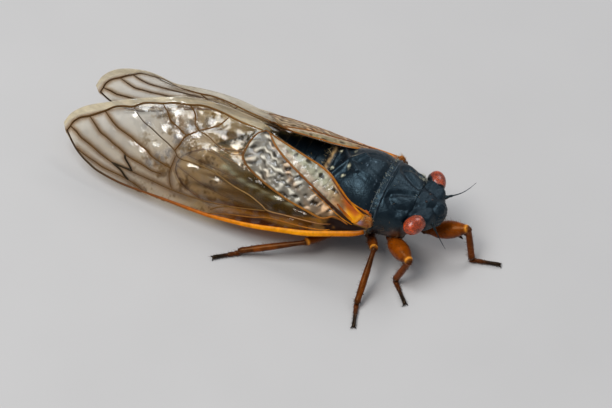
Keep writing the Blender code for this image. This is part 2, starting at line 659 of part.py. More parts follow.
def wing_net(edge, veins):
    """Flat points and triangles of a wing, with three lines along each vein."""
    points = []
    lines = []

    def add_line(row, closed=False):
        start = len(points)
        points.extend(Vector(point) for point in row)
        pairs = [(start + k, start + k + 1) for k in range(len(row) - 1)]
        if closed:
            pairs.append((start + len(row) - 1, start))
        lines.extend(pairs)

    add_line(edge, closed=True)
    for width, row in veins:
        add_line(row)
        for sign in (-1, 1):
            offset = []
            for k, point in enumerate(row):
                ahead = np.subtract(row[min(k + 1, len(row) - 1)], row[max(k - 1, 0)])
                ahead = ahead / np.linalg.norm(ahead)
                side = (-sign * width * ahead[1], sign * width * ahead[0])
                offset.append((point[0] + side[0], point[1] + side[1]))
            add_line([point for point in offset if inside(point, edge)])
    low, high = np.min(edge, axis=0), np.max(edge, axis=0)
    for a in np.arange(low[0] + GRID_STEP / 2, high[0], GRID_STEP):
        for b in np.arange(low[1] + GRID_STEP / 2, high[1], GRID_STEP):
            vein_far = min(distance_to((a, b), row) for _, row in veins) > CLEAR_OF_VEIN
            edge_far = distance_to((a, b), edge + edge[:1]) > CLEAR_OF_EDGE
            if inside((a, b), edge) and vein_far and edge_far:
                points.append(Vector((a, b)))
    out = delaunay_2d_cdt(points, lines, [], 0, 0.02)
    verts = [tuple(vert) for vert in out[0]]
    faces = []
    for face in out[2]:
        middle = np.mean([verts[k] for k in face], axis=0)
        if inside(middle, edge):
            faces.append(list(face))
    return verts, faces


def inside(point, edge):
    """Whether a flat point lies inside a closed edge."""
    x, y = point
    found = False
    for (ax, ay), (bx, by) in zip(edge, edge[1:] + edge[:1]):
        if (ay > y) != (by > y) and x < (bx - ax) * (y - ay) / (by - ay) + ax:
            found = not found
    return found


def make_wing(name, side, edge, veins, drop):
    """A curved wing sheet with its veins raised in its upper face."""
    rows = [(width, even_line(row, VEIN_STEP)) for width, row in veins.values()]
    verts, faces = wing_net(edge, rows)
    used = sorted({k for face in faces for k in face})
    bm = bmesh.new()
    top, under = {}, {}
    for k in used:
        flat = verts[k]
        rise = max(max(0.0, 1 - distance_to(flat, row) / width) for width, row in rows)
        top[k] = bm.verts.new(wing_point(side, *flat, WING_SHEET / 2 + VEIN_HEIGHT * rise - drop))
        under[k] = bm.verts.new(wing_point(side, *flat, -WING_SHEET / 2 - drop))
    count = {}
    for face in faces:
        bm.faces.new([top[k] for k in face])
        bm.faces.new([under[k] for k in reversed(face)])
        for a, b in zip(face, face[1:] + face[:1]):
            key = (min(a, b), max(a, b))
            count.setdefault(key, []).append((a, b))
    for pairs in count.values():
        if len(pairs) == 1:
            a, b = pairs[0]
            bm.faces.new((top[b], top[a], under[a], under[b]))
    bmesh.ops.triangulate(bm, faces=bm.faces)
    return add_object(name, bm, "wing")


def make_wings(thorax):
    """Both fore wings, and the hind wings folded under them."""
    edge = even_line(COSTA + OUTER_EDGE[:1], EDGE_STEP)[:-1]
    edge += even_line(OUTER_EDGE, EDGE_STEP)
    edge += even_line(INNER_EDGE, EDGE_STEP)
    hind_edge = even_line(HIND_EDGE + HIND_EDGE[:1], EDGE_STEP)[:-1]
    for side in SIDES:
        fore = make_wing("forewing_" + side, side, edge, FORE_VEINS, 0.0)
        hind = make_wing("hindwing_" + side, side, hind_edge, HIND_VEINS, HIND_DROP)
        cut_by(fore, thorax)
        cut_by(hind, thorax)


def settle():
    """Moves the animal so that the row's zero is under the middle of its box."""
    bpy.context.view_layer.update()
    low = Vector((1e9, 1e9, 1e9))
    high = -low
    for piece in bpy.data.collections["cicada"].objects:
        if piece.type != "MESH":
            continue
        for vertex in piece.data.vertices:
            place = piece.matrix_world @ vertex.co
            low = Vector(map(min, low, place))
            high = Vector(map(max, high, place))
    bpy.data.objects["cicada_zero"].location = -Vector(((low.x + high.x) / 2,
                                                        (low.y + high.y) / 2, low.z))


def main():
    for old in list(bpy.data.objects):
        bpy.data.objects.remove(old)
    for name in ("cicada", "cutters"):
        group = bpy.data.collections.new(name)
        bpy.context.scene.collection.children.link(group)
    zero = bpy.data.objects.new("cicada_zero", None)
    bpy.data.collections["cicada"].objects.link(zero)
    face, eye_cutters = make_head()
    pronotum = body_part("pronotum", PRONOTUM, 12)
    cut_by(pronotum, eye_cutters)
    make_mesonotum()
    body_part("metanotum", METANOTUM, 5)
    body_part("thorax_under", THORAX_UNDER, 10)
    make_abdomen()
    body_part("tail_plates", TAIL, 8, sides=20)
    thorax = [body_cutter(PRONOTUM), body_cutter(MESONOTUM), body_cutter(METANOTUM),
              body_cutter(THORAX_UNDER)]
    for name, joints in LEGS.items():
        make_leg(name, joints, [thorax[0], thorax[3]])
    belly = body_cutter([(x, middle, half + PLATE_STEP, up + PLATE_STEP, down + PLATE_STEP)
                         for x, middle, half, up, down in ABDOMEN])
    make_wings(thorax + [belly])
    drop(thorax + eye_cutters + [belly, face])
    settle()


main()
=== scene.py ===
"""Looks of a periodical cicada at rest, life size.

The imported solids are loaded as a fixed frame. Each piece below stands for one
or two of them and is drawn finer: plates with their grooves, legs with their
colours and hairs, and wings as thin films with their veins standing on them.
Sizes are millimetres in the animal's own frame, whose zero is on the floor
below the roots of the fore wings, +X towards the head and +Y to its left.
"""
import math
import bmesh
import bpy
import numpy as np
from bpy.props import FloatProperty, FloatVectorProperty, IntProperty, PointerProperty
from mathutils import Matrix, Vector


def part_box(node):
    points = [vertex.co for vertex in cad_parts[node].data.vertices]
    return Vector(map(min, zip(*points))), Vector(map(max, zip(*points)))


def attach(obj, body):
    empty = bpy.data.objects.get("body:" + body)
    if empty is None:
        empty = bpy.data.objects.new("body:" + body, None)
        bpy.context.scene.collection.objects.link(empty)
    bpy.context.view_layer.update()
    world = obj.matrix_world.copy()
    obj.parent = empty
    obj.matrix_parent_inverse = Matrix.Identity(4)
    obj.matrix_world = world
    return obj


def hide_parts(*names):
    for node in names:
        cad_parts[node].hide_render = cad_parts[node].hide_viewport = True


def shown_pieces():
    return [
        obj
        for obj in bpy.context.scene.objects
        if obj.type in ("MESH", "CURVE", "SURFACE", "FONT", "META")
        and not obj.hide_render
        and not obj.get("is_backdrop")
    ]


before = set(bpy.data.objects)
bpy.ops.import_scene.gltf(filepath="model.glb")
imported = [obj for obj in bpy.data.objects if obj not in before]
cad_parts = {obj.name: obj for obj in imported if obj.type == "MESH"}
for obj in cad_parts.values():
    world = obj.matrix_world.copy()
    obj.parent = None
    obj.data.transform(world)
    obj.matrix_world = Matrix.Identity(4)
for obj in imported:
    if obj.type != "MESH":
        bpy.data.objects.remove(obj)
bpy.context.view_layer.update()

bl_info = {
    "name": "Periodical cicada",
    "version": (1, 0, 0),
    "blender": (4, 5, 0),
    "location": "View3D > Sidebar > Cicada",
    "description": "Dresses the packed solids of a periodical cicada with finer shapes and finishes",
    "category": "Object",
}

MM = 0.001
SIDES = {"right": -1.0, "left": 1.0}
METANOTUM_X = -7.7


def body_zero():
    """Where the animal's own zero lies in the row frame, read from its back plate."""
    low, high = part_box("metanotum")
    middle = (np.array(low) + np.array(high)) / 2
    return np.array([middle[0] - METANOTUM_X * MM, middle[1], 0.0])


ZERO = body_zero()

# Body, seen from the side: x, height of the middle, half width, reach above
# the middle and reach below it.
HEAD = [(3.6, 6.9, 3.2, 2.62, 2.5), (3.98, 6.9, 3.25, 2.62, 2.3), (4.6, 7.0, 3.4, 2.45, 2.3),
        (5.5, 7.1, 3.1, 2.2, 2.1), (6.25, 7.2, 2.55, 1.75, 1.6), (6.75, 7.3, 1.7, 1.05, 1.0)]
PRONOTUM = [(3.72, 7.0, 3.55, 2.65, 3.25), (3.1, 6.95, 4.2, 2.9, 3.7), (2.0, 6.9, 4.45, 3.1, 4.0),
            (0.7, 6.9, 4.7, 3.4, 4.1), (-0.1, 6.9, 5.0, 3.52, 4.1), (-0.72, 6.9, 4.98, 3.55, 4.0)]
MESONOTUM = [(-0.55, 7.0, 4.65, 3.35, 0.8), (-1.6, 7.0, 4.85, 3.95, 0.9),
             (-3.0, 7.0, 4.75, 4.2, 0.9), (-4.6, 7.0, 4.4, 3.9, 0.9),
             (-6.0, 7.0, 4.0, 3.3, 0.9), (-7.15, 7.0, 3.5, 2.85, 0.9)]
METANOTUM = [(-7.05, 6.8, 4.2, 2.75, 0.6), (-7.35, 6.8, 4.35, 2.9, 0.6),
             (-7.7, 6.8, 4.5, 2.95, 0.7), (-8.25, 6.8, 4.4, 2.6, 0.7)]
THORAX_UNDER = [(-0.5, 4.7, 4.2, 1.6, 1.3), (-1.6, 4.5, 4.5, 1.8, 1.9), (-3.4, 4.5, 4.5, 1.8, 2.0),
                (-5.6, 4.5, 4.4, 1.8, 2.0), (-7.4, 4.6, 4.2, 1.6, 1.9), (-8.35, 4.6, 4.0, 1.4, 1.8)]
ABDOMEN = [(-8.1, 5.4, 4.2, 3.45, 2.5), (-9.4, 5.3, 4.55, 3.6, 3.0), (-12.0, 5.1, 4.55, 3.5, 3.2),
           (-15.0, 4.8, 4.15, 3.2, 3.1), (-17.6, 4.5, 3.3, 2.6, 2.6), (-19.6, 4.18, 2.2, 1.85, 1.95)]
TAIL = [(-19.4, 4.2, 2.05, 1.7, 1.75), (-20.6, 4.0, 1.45, 1.1, 1.3), (-21.6, 3.8, 0.85, 0.65, 0.9),
        (-22.2, 3.65, 0.3, 0.3, 0.4)]
ABDOMEN_PLATES = 8
COLLAR_FRONT = -0.02

# Spots of cream wax on both sides of the cross: place and size.
WAX_SPOTS = [((-5.02, 0.9, 10.67), 0.42), ((-5.37, 2.07, 10.2), 0.3), ((-6.9, 1.4, 9.75), 0.34)]
# Pale scuffs on the thorax, partly painted glints, each a line of flat points seen from above.
SCUFFS_AND_GLINTS = [[(-1.75, -1.0), (-1.3, -1.45), (-0.95, -1.35)], [(-1.3, -1.45), (-1.35, -1.95), (-1.2, -2.7)],
          [(-1.5, 2.2), (-1.1, 2.45), (-0.8, 2.75)], [(-3.2, 0.5), (-2.5, 0.9), (-1.9, 0.7)],
          [(-3.4, 0.2), (-3.0, -0.2)], [(-4.2, -1.0), (-3.9, -1.3)]]
# Hollows, furrows and ridges of the plates, each a line of x and distance to the side.
HEAD_HOLLOW = [(4.2, 1.5), (5.3, 1.2), (5.9, 0.8)]
FURROW_INNER = [(3.4, 0.6), (2.6, 0.95), (1.5, 1.5), (0.8, 2.0)]
FURROW_OUTER = [(3.1, 2.9), (2.2, 3.15), (1.3, 3.0), (0.7, 2.5)]
SHIELD_INNER = [(-0.9, 0.9), (-1.9, 0.75), (-3.0, 0.35)]
SHIELD_OUTER = [(-0.9, 2.3), (-2.4, 2.2), (-4.0, 1.6)]
SHIELD_RIDGE = [(-1.2, 1.7), (-2.2, 1.3), (-3.3, 1.1), (-4.0, 1.4)]
CROSS_ARMS = ([(-5.5, 0.0), (-4.75, 0.6), (-4.05, 1.35)], [(-5.5, 0.0), (-6.1, 0.95), (-6.7, 2.0)])
# How square a plate's cross-section is, and how its lips round off at both ends: share of the
# last ring and of the lip's length.
PLATE_POWER = 2.2
PLATE_LIP = 0.12
LIP_STEPS = ((0.985, 0.5), (0.95, 0.85), (0.85, 1.0))

EYE_AT = (4.75, 3.65, 8.3)
EYE_SIZE = (1.12, 1.51, 1.1)
EYE_TURN = 24.0
EYE_BACK = -0.62
# Segments round a ball and rings over it, for the eyes, the simple eyes and the wing roots.
EYE_MESH = (84, 56)
OCELLUS_MESH = (20, 14)
ROOT_PLATE_MESH = (28, 18)
CLYPEUS_AT = (5.97, 0.0, 7.25)
CLYPEUS_SIZE = (1.52, 1.75, 1.92)
CLYPEUS_TILT = 18.0
CLYPEUS_RIDGES = 9
CLYPEUS_RINGS = 96
ROSTRUM = [(5.6, 0, 4.95, 0.66), (4.6, 0, 3.6, 0.5), (3.2, 0, 2.45, 0.4), (0.6, 0, 1.75, 0.32),
           (-1.4, 0, 1.6, 0.16)]
ROSTRUM_STEP = 0.12
ROSTRUM_SIDES = 20
FEELER_SIDES = 14
OCELLI = [(5.45, 0.0, 9.33), (4.95, 0.62, 9.42), (4.95, -0.62, 9.42)]
OCELLUS_RADIUS = 0.17
ANTENNA_ROOT = (6.3, 2.0, 7.95)
ANTENNA_WAY = {"right": (2.8, 1.9, -1.5), "left": (3.0, 2.5, 1.9)}
FEELER_SAG = {"right": (0.0, 0.0, -0.12), "left": (0.05, -0.15, -0.5)}
# Radii along a feeler, which thins at each joint, by the share of its length.
FEELER_RADII = [(0.0, 0.24), (0.1, 0.25), (0.15, 0.18), (0.17, 0.16), (0.26, 0.15), (0.3, 0.1),
                (0.33, 0.08), (0.44, 0.075), (0.45, 0.062), (0.56, 0.065), (0.57, 0.052),
                (0.7, 0.052), (0.71, 0.042), (0.84, 0.04), (0.85, 0.032), (1.0, 0.02)]

# Each leg's joints: root of the coxa, hip, knee, ankle and toe.
LEGS = {
    "fore_right": ((3.0, -1.9, 4.3), (1.9, -2.9, 3.4), (5.7, -6.5, 5.0),
                   (4.46, -6.37, 0.75), (6.95, -9.2, 0.3)),
    "fore_left": ((3.3, 1.7, 4.0), (5.25, 1.0, 2.25), (10.2, 1.4, 5.0),
                  (11.45, 0.85, 0.75), (15.1, 1.9, 0.3)),
    "mid_right": ((-1.7, -2.3, 3.9), (-0.2, -3.6, 3.2), (1.2, -6.6, 4.9),
                  (1.65, -11.9, 0.75), (2.61, -15.2, 0.3)),
    "mid_left": ((-1.7, 2.3, 3.9), (-1.2, 3.7, 3.3), (-0.2, 6.9, 5.4),
                 (-3.2, 8.3, 0.75), (-5.9, 9.6, 0.3)),
    "hind_right": ((-5.2, -2.2, 3.7), (-3.9, -3.6, 2.7), (-6.85, -8.0, 3.0),
                   (-13.9, -11.1, 0.75), (-16.65, -13.3, 0.3)),
    "hind_left": ((-5.2, 2.2, 3.7), (-4.4, 3.7, 2.8), (-7.5, 7.2, 3.2),
                  (-15.2, 8.4, 0.75), (-18.4, 9.2, 0.3)),
}
# A leg's lengths: points round each, the step along it in millimetres, and its slot.
LIMBS = {"coxa": (22, 0.1, "dark_leg"), "femur": (28, 0.1, "leg"), "tibia": (20, 0.1, "leg"),
         "tarsus": (16, 0.06, "dark_leg")}
# Radii along a leg's lengths, by the share of the way from joint to joint.
COXA_SWELL = {"fore": 0.92, "rear": 1.08}
COXA_RADII = [(0.8, 0.7), (0.93, 0.62), (1.08, 0.5)]
FEMUR_RADII = {
    "fore": [(-0.02, 0.42), (0.05, 0.5), (0.12, 0.6), (0.28, 0.96), (0.5, 1.12), (0.68, 1.02),
             (0.82, 0.78), (0.92, 0.58), (0.97, 0.53), (1.01, 0.4)],
    "rear": [(-0.02, 0.4), (0.08, 0.46), (0.3, 0.56), (0.55, 0.62), (0.78, 0.56), (0.9, 0.5),
             (0.96, 0.5), (1.02, 0.38)],
}
TIBIA_RADII = {
    "fore": [(-0.03, 0.3), (0.03, 0.42), (0.1, 0.36), (0.3, 0.4), (0.6, 0.42), (0.85, 0.4),
             (0.95, 0.44), (1.03, 0.34)],
    "rear": [(-0.02, 0.3), (0.02, 0.36), (0.07, 0.29), (0.2, 0.32), (0.45, 0.4), (0.7, 0.42),
             (0.88, 0.38), (0.96, 0.4), (1.02, 0.28)],
}
FOOT_RADII = [(-0.06, 0.24), (0.0, 0.32), (0.14, 0.31), (0.2, 0.23), (0.23, 0.28), (0.38, 0.28),
              (0.44, 0.2), (0.48, 0.23), (0.7, 0.22), (0.88, 0.25), (0.97, 0.24), (1.03, 0.15)]
FOOT_END = 0.92
HEEL_HEIGHT = 0.34
# Spines under the fore femur: share of its length, how far they stand out and radius.
FORE_SPINES = [(0.42, 1.17, 0.3), (0.66, 1.4, 0.36), (0.84, 1.15, 0.3)]
TIBIA_SPURS = {"fore": 2, "mid": 4, "hind": 6}
SPUR_RADIUS = 0.1
CLAW_RADIUS = 0.09
SPIKE_RINGS = 8
SPIKE_SIDES = 7
SPIKE_TIP = 0.015

# Wings. Points on a wing are (run from the root, height across) on the wing
# laid flat, the front margin below zero and the hind margin above.
WING_LENGTH = 39.5
FORE_ROOT = (0.0, -5.5, 6.5)
FORE_TIP = {"right": (-39.3, -6.1, 3.7), "left": (-38.5, -3.3, 3.45)}
ROOF_AT_ROOT = 42.0
ROOF_AT_TIP = {"right": 46.0, "left": 66.0}
ROOF_TURN = 1.7
TWIST = {"right": 0.0, "left": 42.0}
TWIST_START = 0.62
TWIST_POWER = 1.6
TWIST_SWAY = {"right": (0.0, 0.0, 0.0), "left": (0.3, 2.0, 0.1)}
CAMBER = 1.6
CAMBER_MID = 1.8
CAMBER_REACH = 6.6
CAMBER_AT_ROOT = 0.5
# The far wing rides up over the near one in its middle.
MID_RISE = {"right": 0.0, "left": 0.75}
MID_RISE_SPAN = (0.22, 0.88)
MIDLINE_CLEARANCE = 0.12
MIDLINE_BEND = 0.4

COSTA = [(0.2, -0.55), (1.5, -1.15), (4.0, -1.95), (7.0, -2.85), (10.0, -3.45), (14.0, -4.1),
         (18.0, -4.45), (21.0, -4.55), (26.0, -4.4), (31.0, -4.15), (34.0, -3.6), (36.0, -2.75),
         (37.8, -1.45), (39.2, -0.25), (39.85, 0.9)]
HIND_MARGIN = [(0.2, 1.95), (1.4, 2.35), (3.0, 2.75), (4.6, 3.75), (6.6, 5.2), (9.0, 6.0),
               (12.0, 6.72), (14.0, 7.35), (15.5, 8.1), (17.5, 8.85), (21.0, 9.15), (25.0, 8.7),
               (28.5, 7.65), (32.0, 6.35), (35.0, 5.0), (37.6, 3.7), (39.2, 2.3), (39.85, 0.9)]
# Veins: kind, half width and the points that each runs through.
FORE_VEINS = [
    ("costa", 0.27, [(0.5, -0.35), (1.5, -0.85), (4.0, -1.65), (7.0, -2.58), (10.0, -3.16),
                     (14.0, -3.86), (18.0, -4.22), (20.0, -4.32), (25.0, -4.16), (28.0, -4.08),
                     (31.0, -3.95), (34.0, -3.42), (35.5, -2.82), (36.5, -2.32), (37.4, -1.7),
                     (38.2, -0.98), (39.2, 0.05)]),
    ("root", 0.17, [(1.2, 1.5), (1.45, 0.9), (1.95, 0.36), (2.6, 0.72), (3.6, 1.25), (4.5, 1.85)]),
    ("root", 0.13, [(1.15, 1.4), (2.3, 2.05), (3.2, 2.6), (4.1, 3.15), (5.1, 3.75)]),
    ("gold", 0.1, [(4.5, -1.35), (5.5, -1.7), (8.0, -2.05), (12.0, -2.3), (14.0, -2.85),
                   (17.0, -3.45), (19.5, -4.1)]),
    ("thin", 0.09, [(12.6, -1.6), (14.5, -2.0), (17.0, -2.5), (18.4, -3.0), (19.3, -3.6)]),
    ("thin", 0.09, [(17.0, -2.45), (20.5, -2.8), (24.5, -2.75), (28.0, -2.35), (32.2, -1.95)]),
    ("media", 0.085, [(4.6, -0.7), (6.2, -1.1), (10.0, -1.35), (12.3, -1.5), (13.2, -1.1),
                      (15.0, -0.4), (17.0, 0.0), (19.0, 0.6), (20.0, 0.9), (22.4, 1.15),
                      (24.6, 1.2), (25.4, 1.9), (26.6, 2.5), (27.7, 2.95), (29.0, 3.55),
                      (30.1, 3.95), (31.0, 4.5), (32.0, 5.25)]),
    ("loop", 0.15, [(2.6, -0.1), (4.4, 0.3), (5.8, -0.35), (8.0, 0.0), (10.0, 0.4), (12.0, 1.0),
                    (14.0, 1.7), (15.5, 2.4), (16.5, 3.0), (17.2, 3.9), (17.0, 5.5),
                    (16.5, 6.8), (15.6, 7.5)]),
    ("suture", 0.17, [(2.0, 0.2), (2.7, 0.42), (4.3, 1.15), (6.1, 2.0), (8.0, 2.95), (10.0, 3.95),
                      (12.0, 4.95), (13.8, 6.1), (15.1, 7.35)]),
    ("gold", 0.07, [(2.1, 0.02), (3.5, 0.4), (4.8, 0.95), (6.4, 1.75), (8.4, 2.75)]),
    ("gold", 0.14, [(0.4, 1.75), (1.5, 2.15), (3.0, 2.55), (4.3, 3.35), (5.0, 3.9), (6.5, 4.95),
                    (8.0, 5.55), (10.0, 6.05), (12.0, 6.55), (14.0, 7.05), (15.6, 7.5)]),
    ("apical", 0.12, [(39.2, 0.05), (38.95, 0.6), (38.7, 1.3), (38.0, 2.05), (37.0, 2.55),
                      (36.4, 2.95), (35.2, 3.8), (34.2, 4.6), (33.2, 5.0), (32.05, 5.3),
                      (31.0, 6.05), (29.8, 6.45), (28.65, 6.75), (27.3, 7.25), (25.4, 7.6),
                      (24.0, 7.95), (22.6, 8.0), (21.0, 7.85), (19.0, 7.55), (16.0, 7.4)]),
    ("apical", 0.07, [(28.0, -3.9), (29.5, -3.4), (31.0, -3.1), (33.5, -2.8), (34.5, -2.5),
                      (36.0, -2.1), (37.4, -1.6)]),
    ("apical", 0.1, [(32.5, -1.9), (34.0, -1.4), (35.0, -1.0), (36.0, -0.6), (37.2, -0.2),
                     (38.0, 0.3), (38.85, 0.65)]),
    ("dark", 0.15, [(30.0, -3.3), (30.6, -2.95), (31.3, -2.4), (32.6, -1.85)]),
    ("dark", 0.14, [(29.8, -2.05), (31.0, -2.0), (32.5, -1.9)]),
    ("dark", 0.14, [(29.9, -2.05), (30.6, -1.35), (31.1, -0.9), (31.3, -0.3)]),
    ("apical", 0.09, [(26.2, -1.3), (27.5, -1.3), (28.6, -1.0), (29.7, -0.8), (31.0, -0.5),
                      (32.0, 0.0), (33.0, 0.35), (34.0, 0.8), (35.0, 1.15), (35.8, 1.75),
                      (36.8, 2.5)]),
    ("apical", 0.09, [(25.2, -0.3), (26.6, 0.0), (28.0, 0.4), (28.8, 0.9), (30.0, 1.3),
                      (31.0, 1.75), (32.0, 2.05), (33.0, 2.35), (34.0, 2.9), (35.2, 3.75)]),
    ("apical", 0.09, [(24.6, 4.0), (26.0, 4.7), (27.0, 5.1), (27.7, 5.9), (28.65, 6.7)]),
    ("apical", 0.1, [(25.4, 1.9), (25.0, 2.9), (24.6, 4.0), (23.4, 5.0), (24.0, 5.6),
                     (24.3, 6.5), (24.8, 7.1), (25.4, 7.55)]),
    ("apical", 0.09, [(23.4, 5.0), (22.2, 5.7), (21.2, 6.4), (20.4, 7.7)]),
    ("thin", 0.08, [(17.2, 3.9), (18.8, 3.6), (20.6, 4.1), (22.2, 4.8), (23.4, 5.0)]),
    ("thin", 0.07, [(24.4, -2.75), (24.9, -2.0), (25.3, -0.9), (25.2, 0.3), (25.1, 1.3)]),
]
# Colour of each kind of vein by its place along the wing.
VEIN_TONES = {
    "costa": [(0, "#8a3c06"), (2.5, "#d27406"), (8, "#f09606"), (15, "#ea8806"),
              (20, "#bc5e06"), (25, "#8c440a"), (30, "#5e3212"), (34, "#3c2612"), (40, "#2c1c10")],
    "root": [(0, "#a04e08"), (2.1, "#e0880c"), (3.0, "#b0560c"), (4.5, "#7c3c0e")],
    "gold": [(0, "#a85a0e"), (3, "#c0700f"), (9, "#9c5a14"), (17, "#7c4c1c")],
    "loop": [(2, "#8a4a18"), (8, "#a0621e"), (17, "#6e4520")],
    "media": [(4, "#7c4416"), (8, "#a8764a"), (16, "#94703f"), (22, "#6a4a24"), (28, "#3c2812")],
    "suture": [(2, "#24100a"), (6, "#421e0e"), (8, "#7c4418"), (16, "#96602a")],
    "thin": [(12, "#7c5424"), (26, "#5a3c1c"), (33, "#3a2814")],
    "apical": [(16, "#845a28"), (22, "#6a441a"), (27, "#583812"), (40, "#4a2e10")],
    "dark": [(29, "#1c120a"), (33, "#20150b")],
}
LOOP_LINE, SUTURE_LINE = (
    next(line for name, _, line in FORE_VEINS if name == kind) for kind in ("loop", "suture"))
# The stretch of the looped vein below which the closed cells lie.
LOOP_SPAN = slice(1, 10)
# Veins are drawn slimmer than their half widths, those of the tip a little wider. A vein's
# height is a share of its width, between the least and the most.
VEIN_SLIM = 0.88
TIP_VEIN_WIDEN = 1.08
VEIN_TALL, VEIN_LEAST, VEIN_MOST = 0.85, 0.06, 0.16
VEIN_LIFT = 0.02
VEIN_STEP = 0.3
VEIN_SIDES = 8
# How much of its half width the front vein has at each run.
COSTA_SWELL = ([0, 2, 9, 13, 20, 28, 33, 40], [0.8, 1.4, 1.42, 1.25, 0.85, 0.5, 0.5, 0.4])
# What the film of the fore wing lets through, by the place along the wing.
FILM_TONES = [(0, "#b8802e"), (5, "#b08038"), (12, "#bc9c54"), (16, "#d0b474"), (19, "#f2e4c6"),
              (25, "#fdf5e8"), (30, "#fffcf5"), (35, "#fffcf6"), (40, "#fdf8ee")]
# Brown stains among the veins of the middle of the fore wing: run, height, size and depth.
STAINS = [(28.35, 5.7, 0.6, 1.0), (24.5, 5.3, 0.7, 0.8), (23.3, 5.0, 0.55, 1.0),
          (25.3, 3.5, 0.75, 1.0), (27.0, 4.85, 0.9, 0.5), (22.5, 6.4, 0.7, 0.6),
          (29.6, 3.8, 0.5, 0.6), (24.4, 4.3, 0.6, 1.0), (27.0, 0.45, 0.6, 1.0),
          (26.05, 1.4, 0.5, 0.9), (24.6, 2.25, 0.55, 0.7), (28.1, -0.5, 0.5, 0.7)]
# Smoky clouds behind the brown network: run, height, how much the distance along and across
# counts, size and depth.
SMOKE_CLOUDS = [(27.4, -0.1, 0.8, 1.0, 1.0, 1.0), (26.4, 5.6, 1.0, 0.8, 1.1, 0.7),
                (24.0, 4.6, 1.0, 1.0, 1.3, 0.7)]
# An olive streak in the middle, a glow and a black line in the orange root.
OLIVE_LINE = [(9.6, 0.1), (13.0, 0.4), (16.4, 1.0), (19.0, 2.0)]
ROOT_GLOW = [(1.3, 1.3), (1.9, 0.5), (3.4, 1.25)]
ROOT_LINE = [(4.6, 3.55), (3.5, 2.98), (2.4, 2.34), (1.2, 1.72), (0.1, 1.9)]
# The amber cell behind the front margin.
FRONT_CELL = {"right": "#c07c24", "left": "#cc9458"}

# The two closed cells end below this height and before this run.
CELL_TOP = ([12.0, 14.0, 15.6, 17.0], [6.75, 7.25, 7.7, 7.9])
CELL_END = ([3.9, 5.5, 6.8, 7.5], [17.15, 17.0, 16.5, 15.7])
# Their folds and crests; the far wing shows its browner back, whose folds are smoother.
# In the outer cell the fold tone is painted shade and the crest tone a painted highlight.
FOLD_SHADE_AND_CREST_HIGHLIGHT = {"right": ("#3a2c18", "#efe2cc"), "left": ("#6e5234", "#d8be9a")}
FOLD_DEPTH = {"right": 0.08, "left": 0.04}
FOLD_SPACING = 0.86
# The way that the folds run, in degrees, at two runs along the wing.
FOLD_LEAN = ([5, 15], [62, 22])
# The film of the far wing is seen almost along itself, which deepens its tint; it is
# drawn paler by this power, so that it looks as it does in life.
FILM_PALER = {"right": 1.0, "left": 0.4}

HIND_EDGE_FRONT = [(2.4, -0.75), (7.0, -2.3), (13.0, -3.2), (19.0, -3.3), (23.4, -2.2),
                   (25.1, -0.6), (25.4, 0.6)]
HIND_EDGE_BACK = [(2.4, 0.75), (4.4, 2.0), (7.4, 3.3), (11.0, 4.3), (15.0, 4.8), (19.0, 4.6),
                  (22.6, 3.5), (24.8, 1.9), (25.4, 0.6)]
HIND_VEINS = [
    ("apical", 0.12, [(2.6, -0.5), (8.0, -2.2), (13.5, -2.95), (19.0, -3.05), (23.0, -2.0),
                      (24.7, -0.6), (24.9, 0.5)]),
    ("apical", 0.09, [(24.9, 0.5), (24.3, 1.7), (22.0, 3.15), (18.5, 4.1), (15.0, 4.3),
                      (11.0, 3.85)]),
    ("thin", 0.08, [(2.8, -0.3), (10.0, -1.3), (17.0, -1.6), (21.5, -0.9), (24.8, 0.2)]),
    ("thin", 0.08, [(2.8, 0.0), (9.0, 0.1), (15.0, 0.7), (20.0, 1.3), (24.2, 1.8)]),
    ("thin", 0.08, [(3.0, 0.2), (9.0, 1.1), (14.0, 2.0), (18.0, 2.7), (22.0, 3.1)]),
    ("thin", 0.08, [(3.2, 0.5), (7.0, 1.7), (11.0, 2.9), (15.0, 3.7), (18.0, 4.1)]),
]
# Each wing's veins, how thick its film is and how far it lies below the fore wing.
WINGS = {"forewing": (FORE_VEINS, 0.07, 0.0), "hindwing": (HIND_VEINS, 0.06, 0.82)}
# Columns along a wing and points across it. The columns draw together near the tip.
FORE_GRID = (290, 88)
HIND_GRID = (120, 40)
TIP_SPAN = 4.0
# The film's flat map: millimetres that it spans, and where the root lies in it.
MAP_SPAN = 40.0
MAP_ROOT = (0.0, 0.2)

# Small plates at a wing's root: place, reach, turn in degrees and colour.
ROOT_PLATES = [((-0.4, 5.28, 7.55), (0.55, 0.32, 0.95), 8.0, "#a8622a"),
               ((-0.75, 5.15, 6.35), (0.4, 0.3, 0.5), 0.0, "#7c4a20"),
               ((-1.5, 5.05, 7.15), (0.5, 0.3, 0.36), -12.0, "#1c1a20")]

# A hair's rings: share of its length and radius. The real ones are about a
# fifth as thick; these are drawn as thick as is needed for them to be seen.
HAIR_RINGS = [(0.0, 0.018), (0.4, 0.015), (0.75, 0.01), (1.0, 0.003)]
HAIR_SIDES = 3
# Hairs lean towards the tail, each a little its own way, and bend further at their ends.
HAIR_LIE = (-0.8, 0.0, 0.0)
HAIR_SCATTER = 0.35
HAIR_LEAN = 0.75
HAIR_BEND = 0.35
HAIR_SINK = 0.03
HAIR_LENGTHS = (0.55, 1.25)
HAIR_SHADES = (0.65, 1.25)
HAIR_FEWEST = 8
# The lowest that a hair reaches above the floor.
HAIR_FLOOR = 0.02
# Width of each hair's patch in its flat map.
PATCH = 0.003


def low_sides(places):
    """More hairs low on the flanks, few on the crown."""
    return 0.06 + np.clip((8.2 - places[:, 2]) / 3.0, 0, 1)


def rear_edge(places):
    """Hairs along the hind edge of the pronotum and in the corner behind the left eye."""
    edge = np.exp(-((places[:, 0] + 0.5) / 0.25) ** 2)
    corner = np.exp(-((places[:, 0] - 3.3) / 0.4) ** 2) * (places[:, 1] > 2.2)
    return 0.015 + 0.6 * edge + 2.0 * corner


def all_over(places):
    """The same everywhere."""
    return np.ones(len(places))


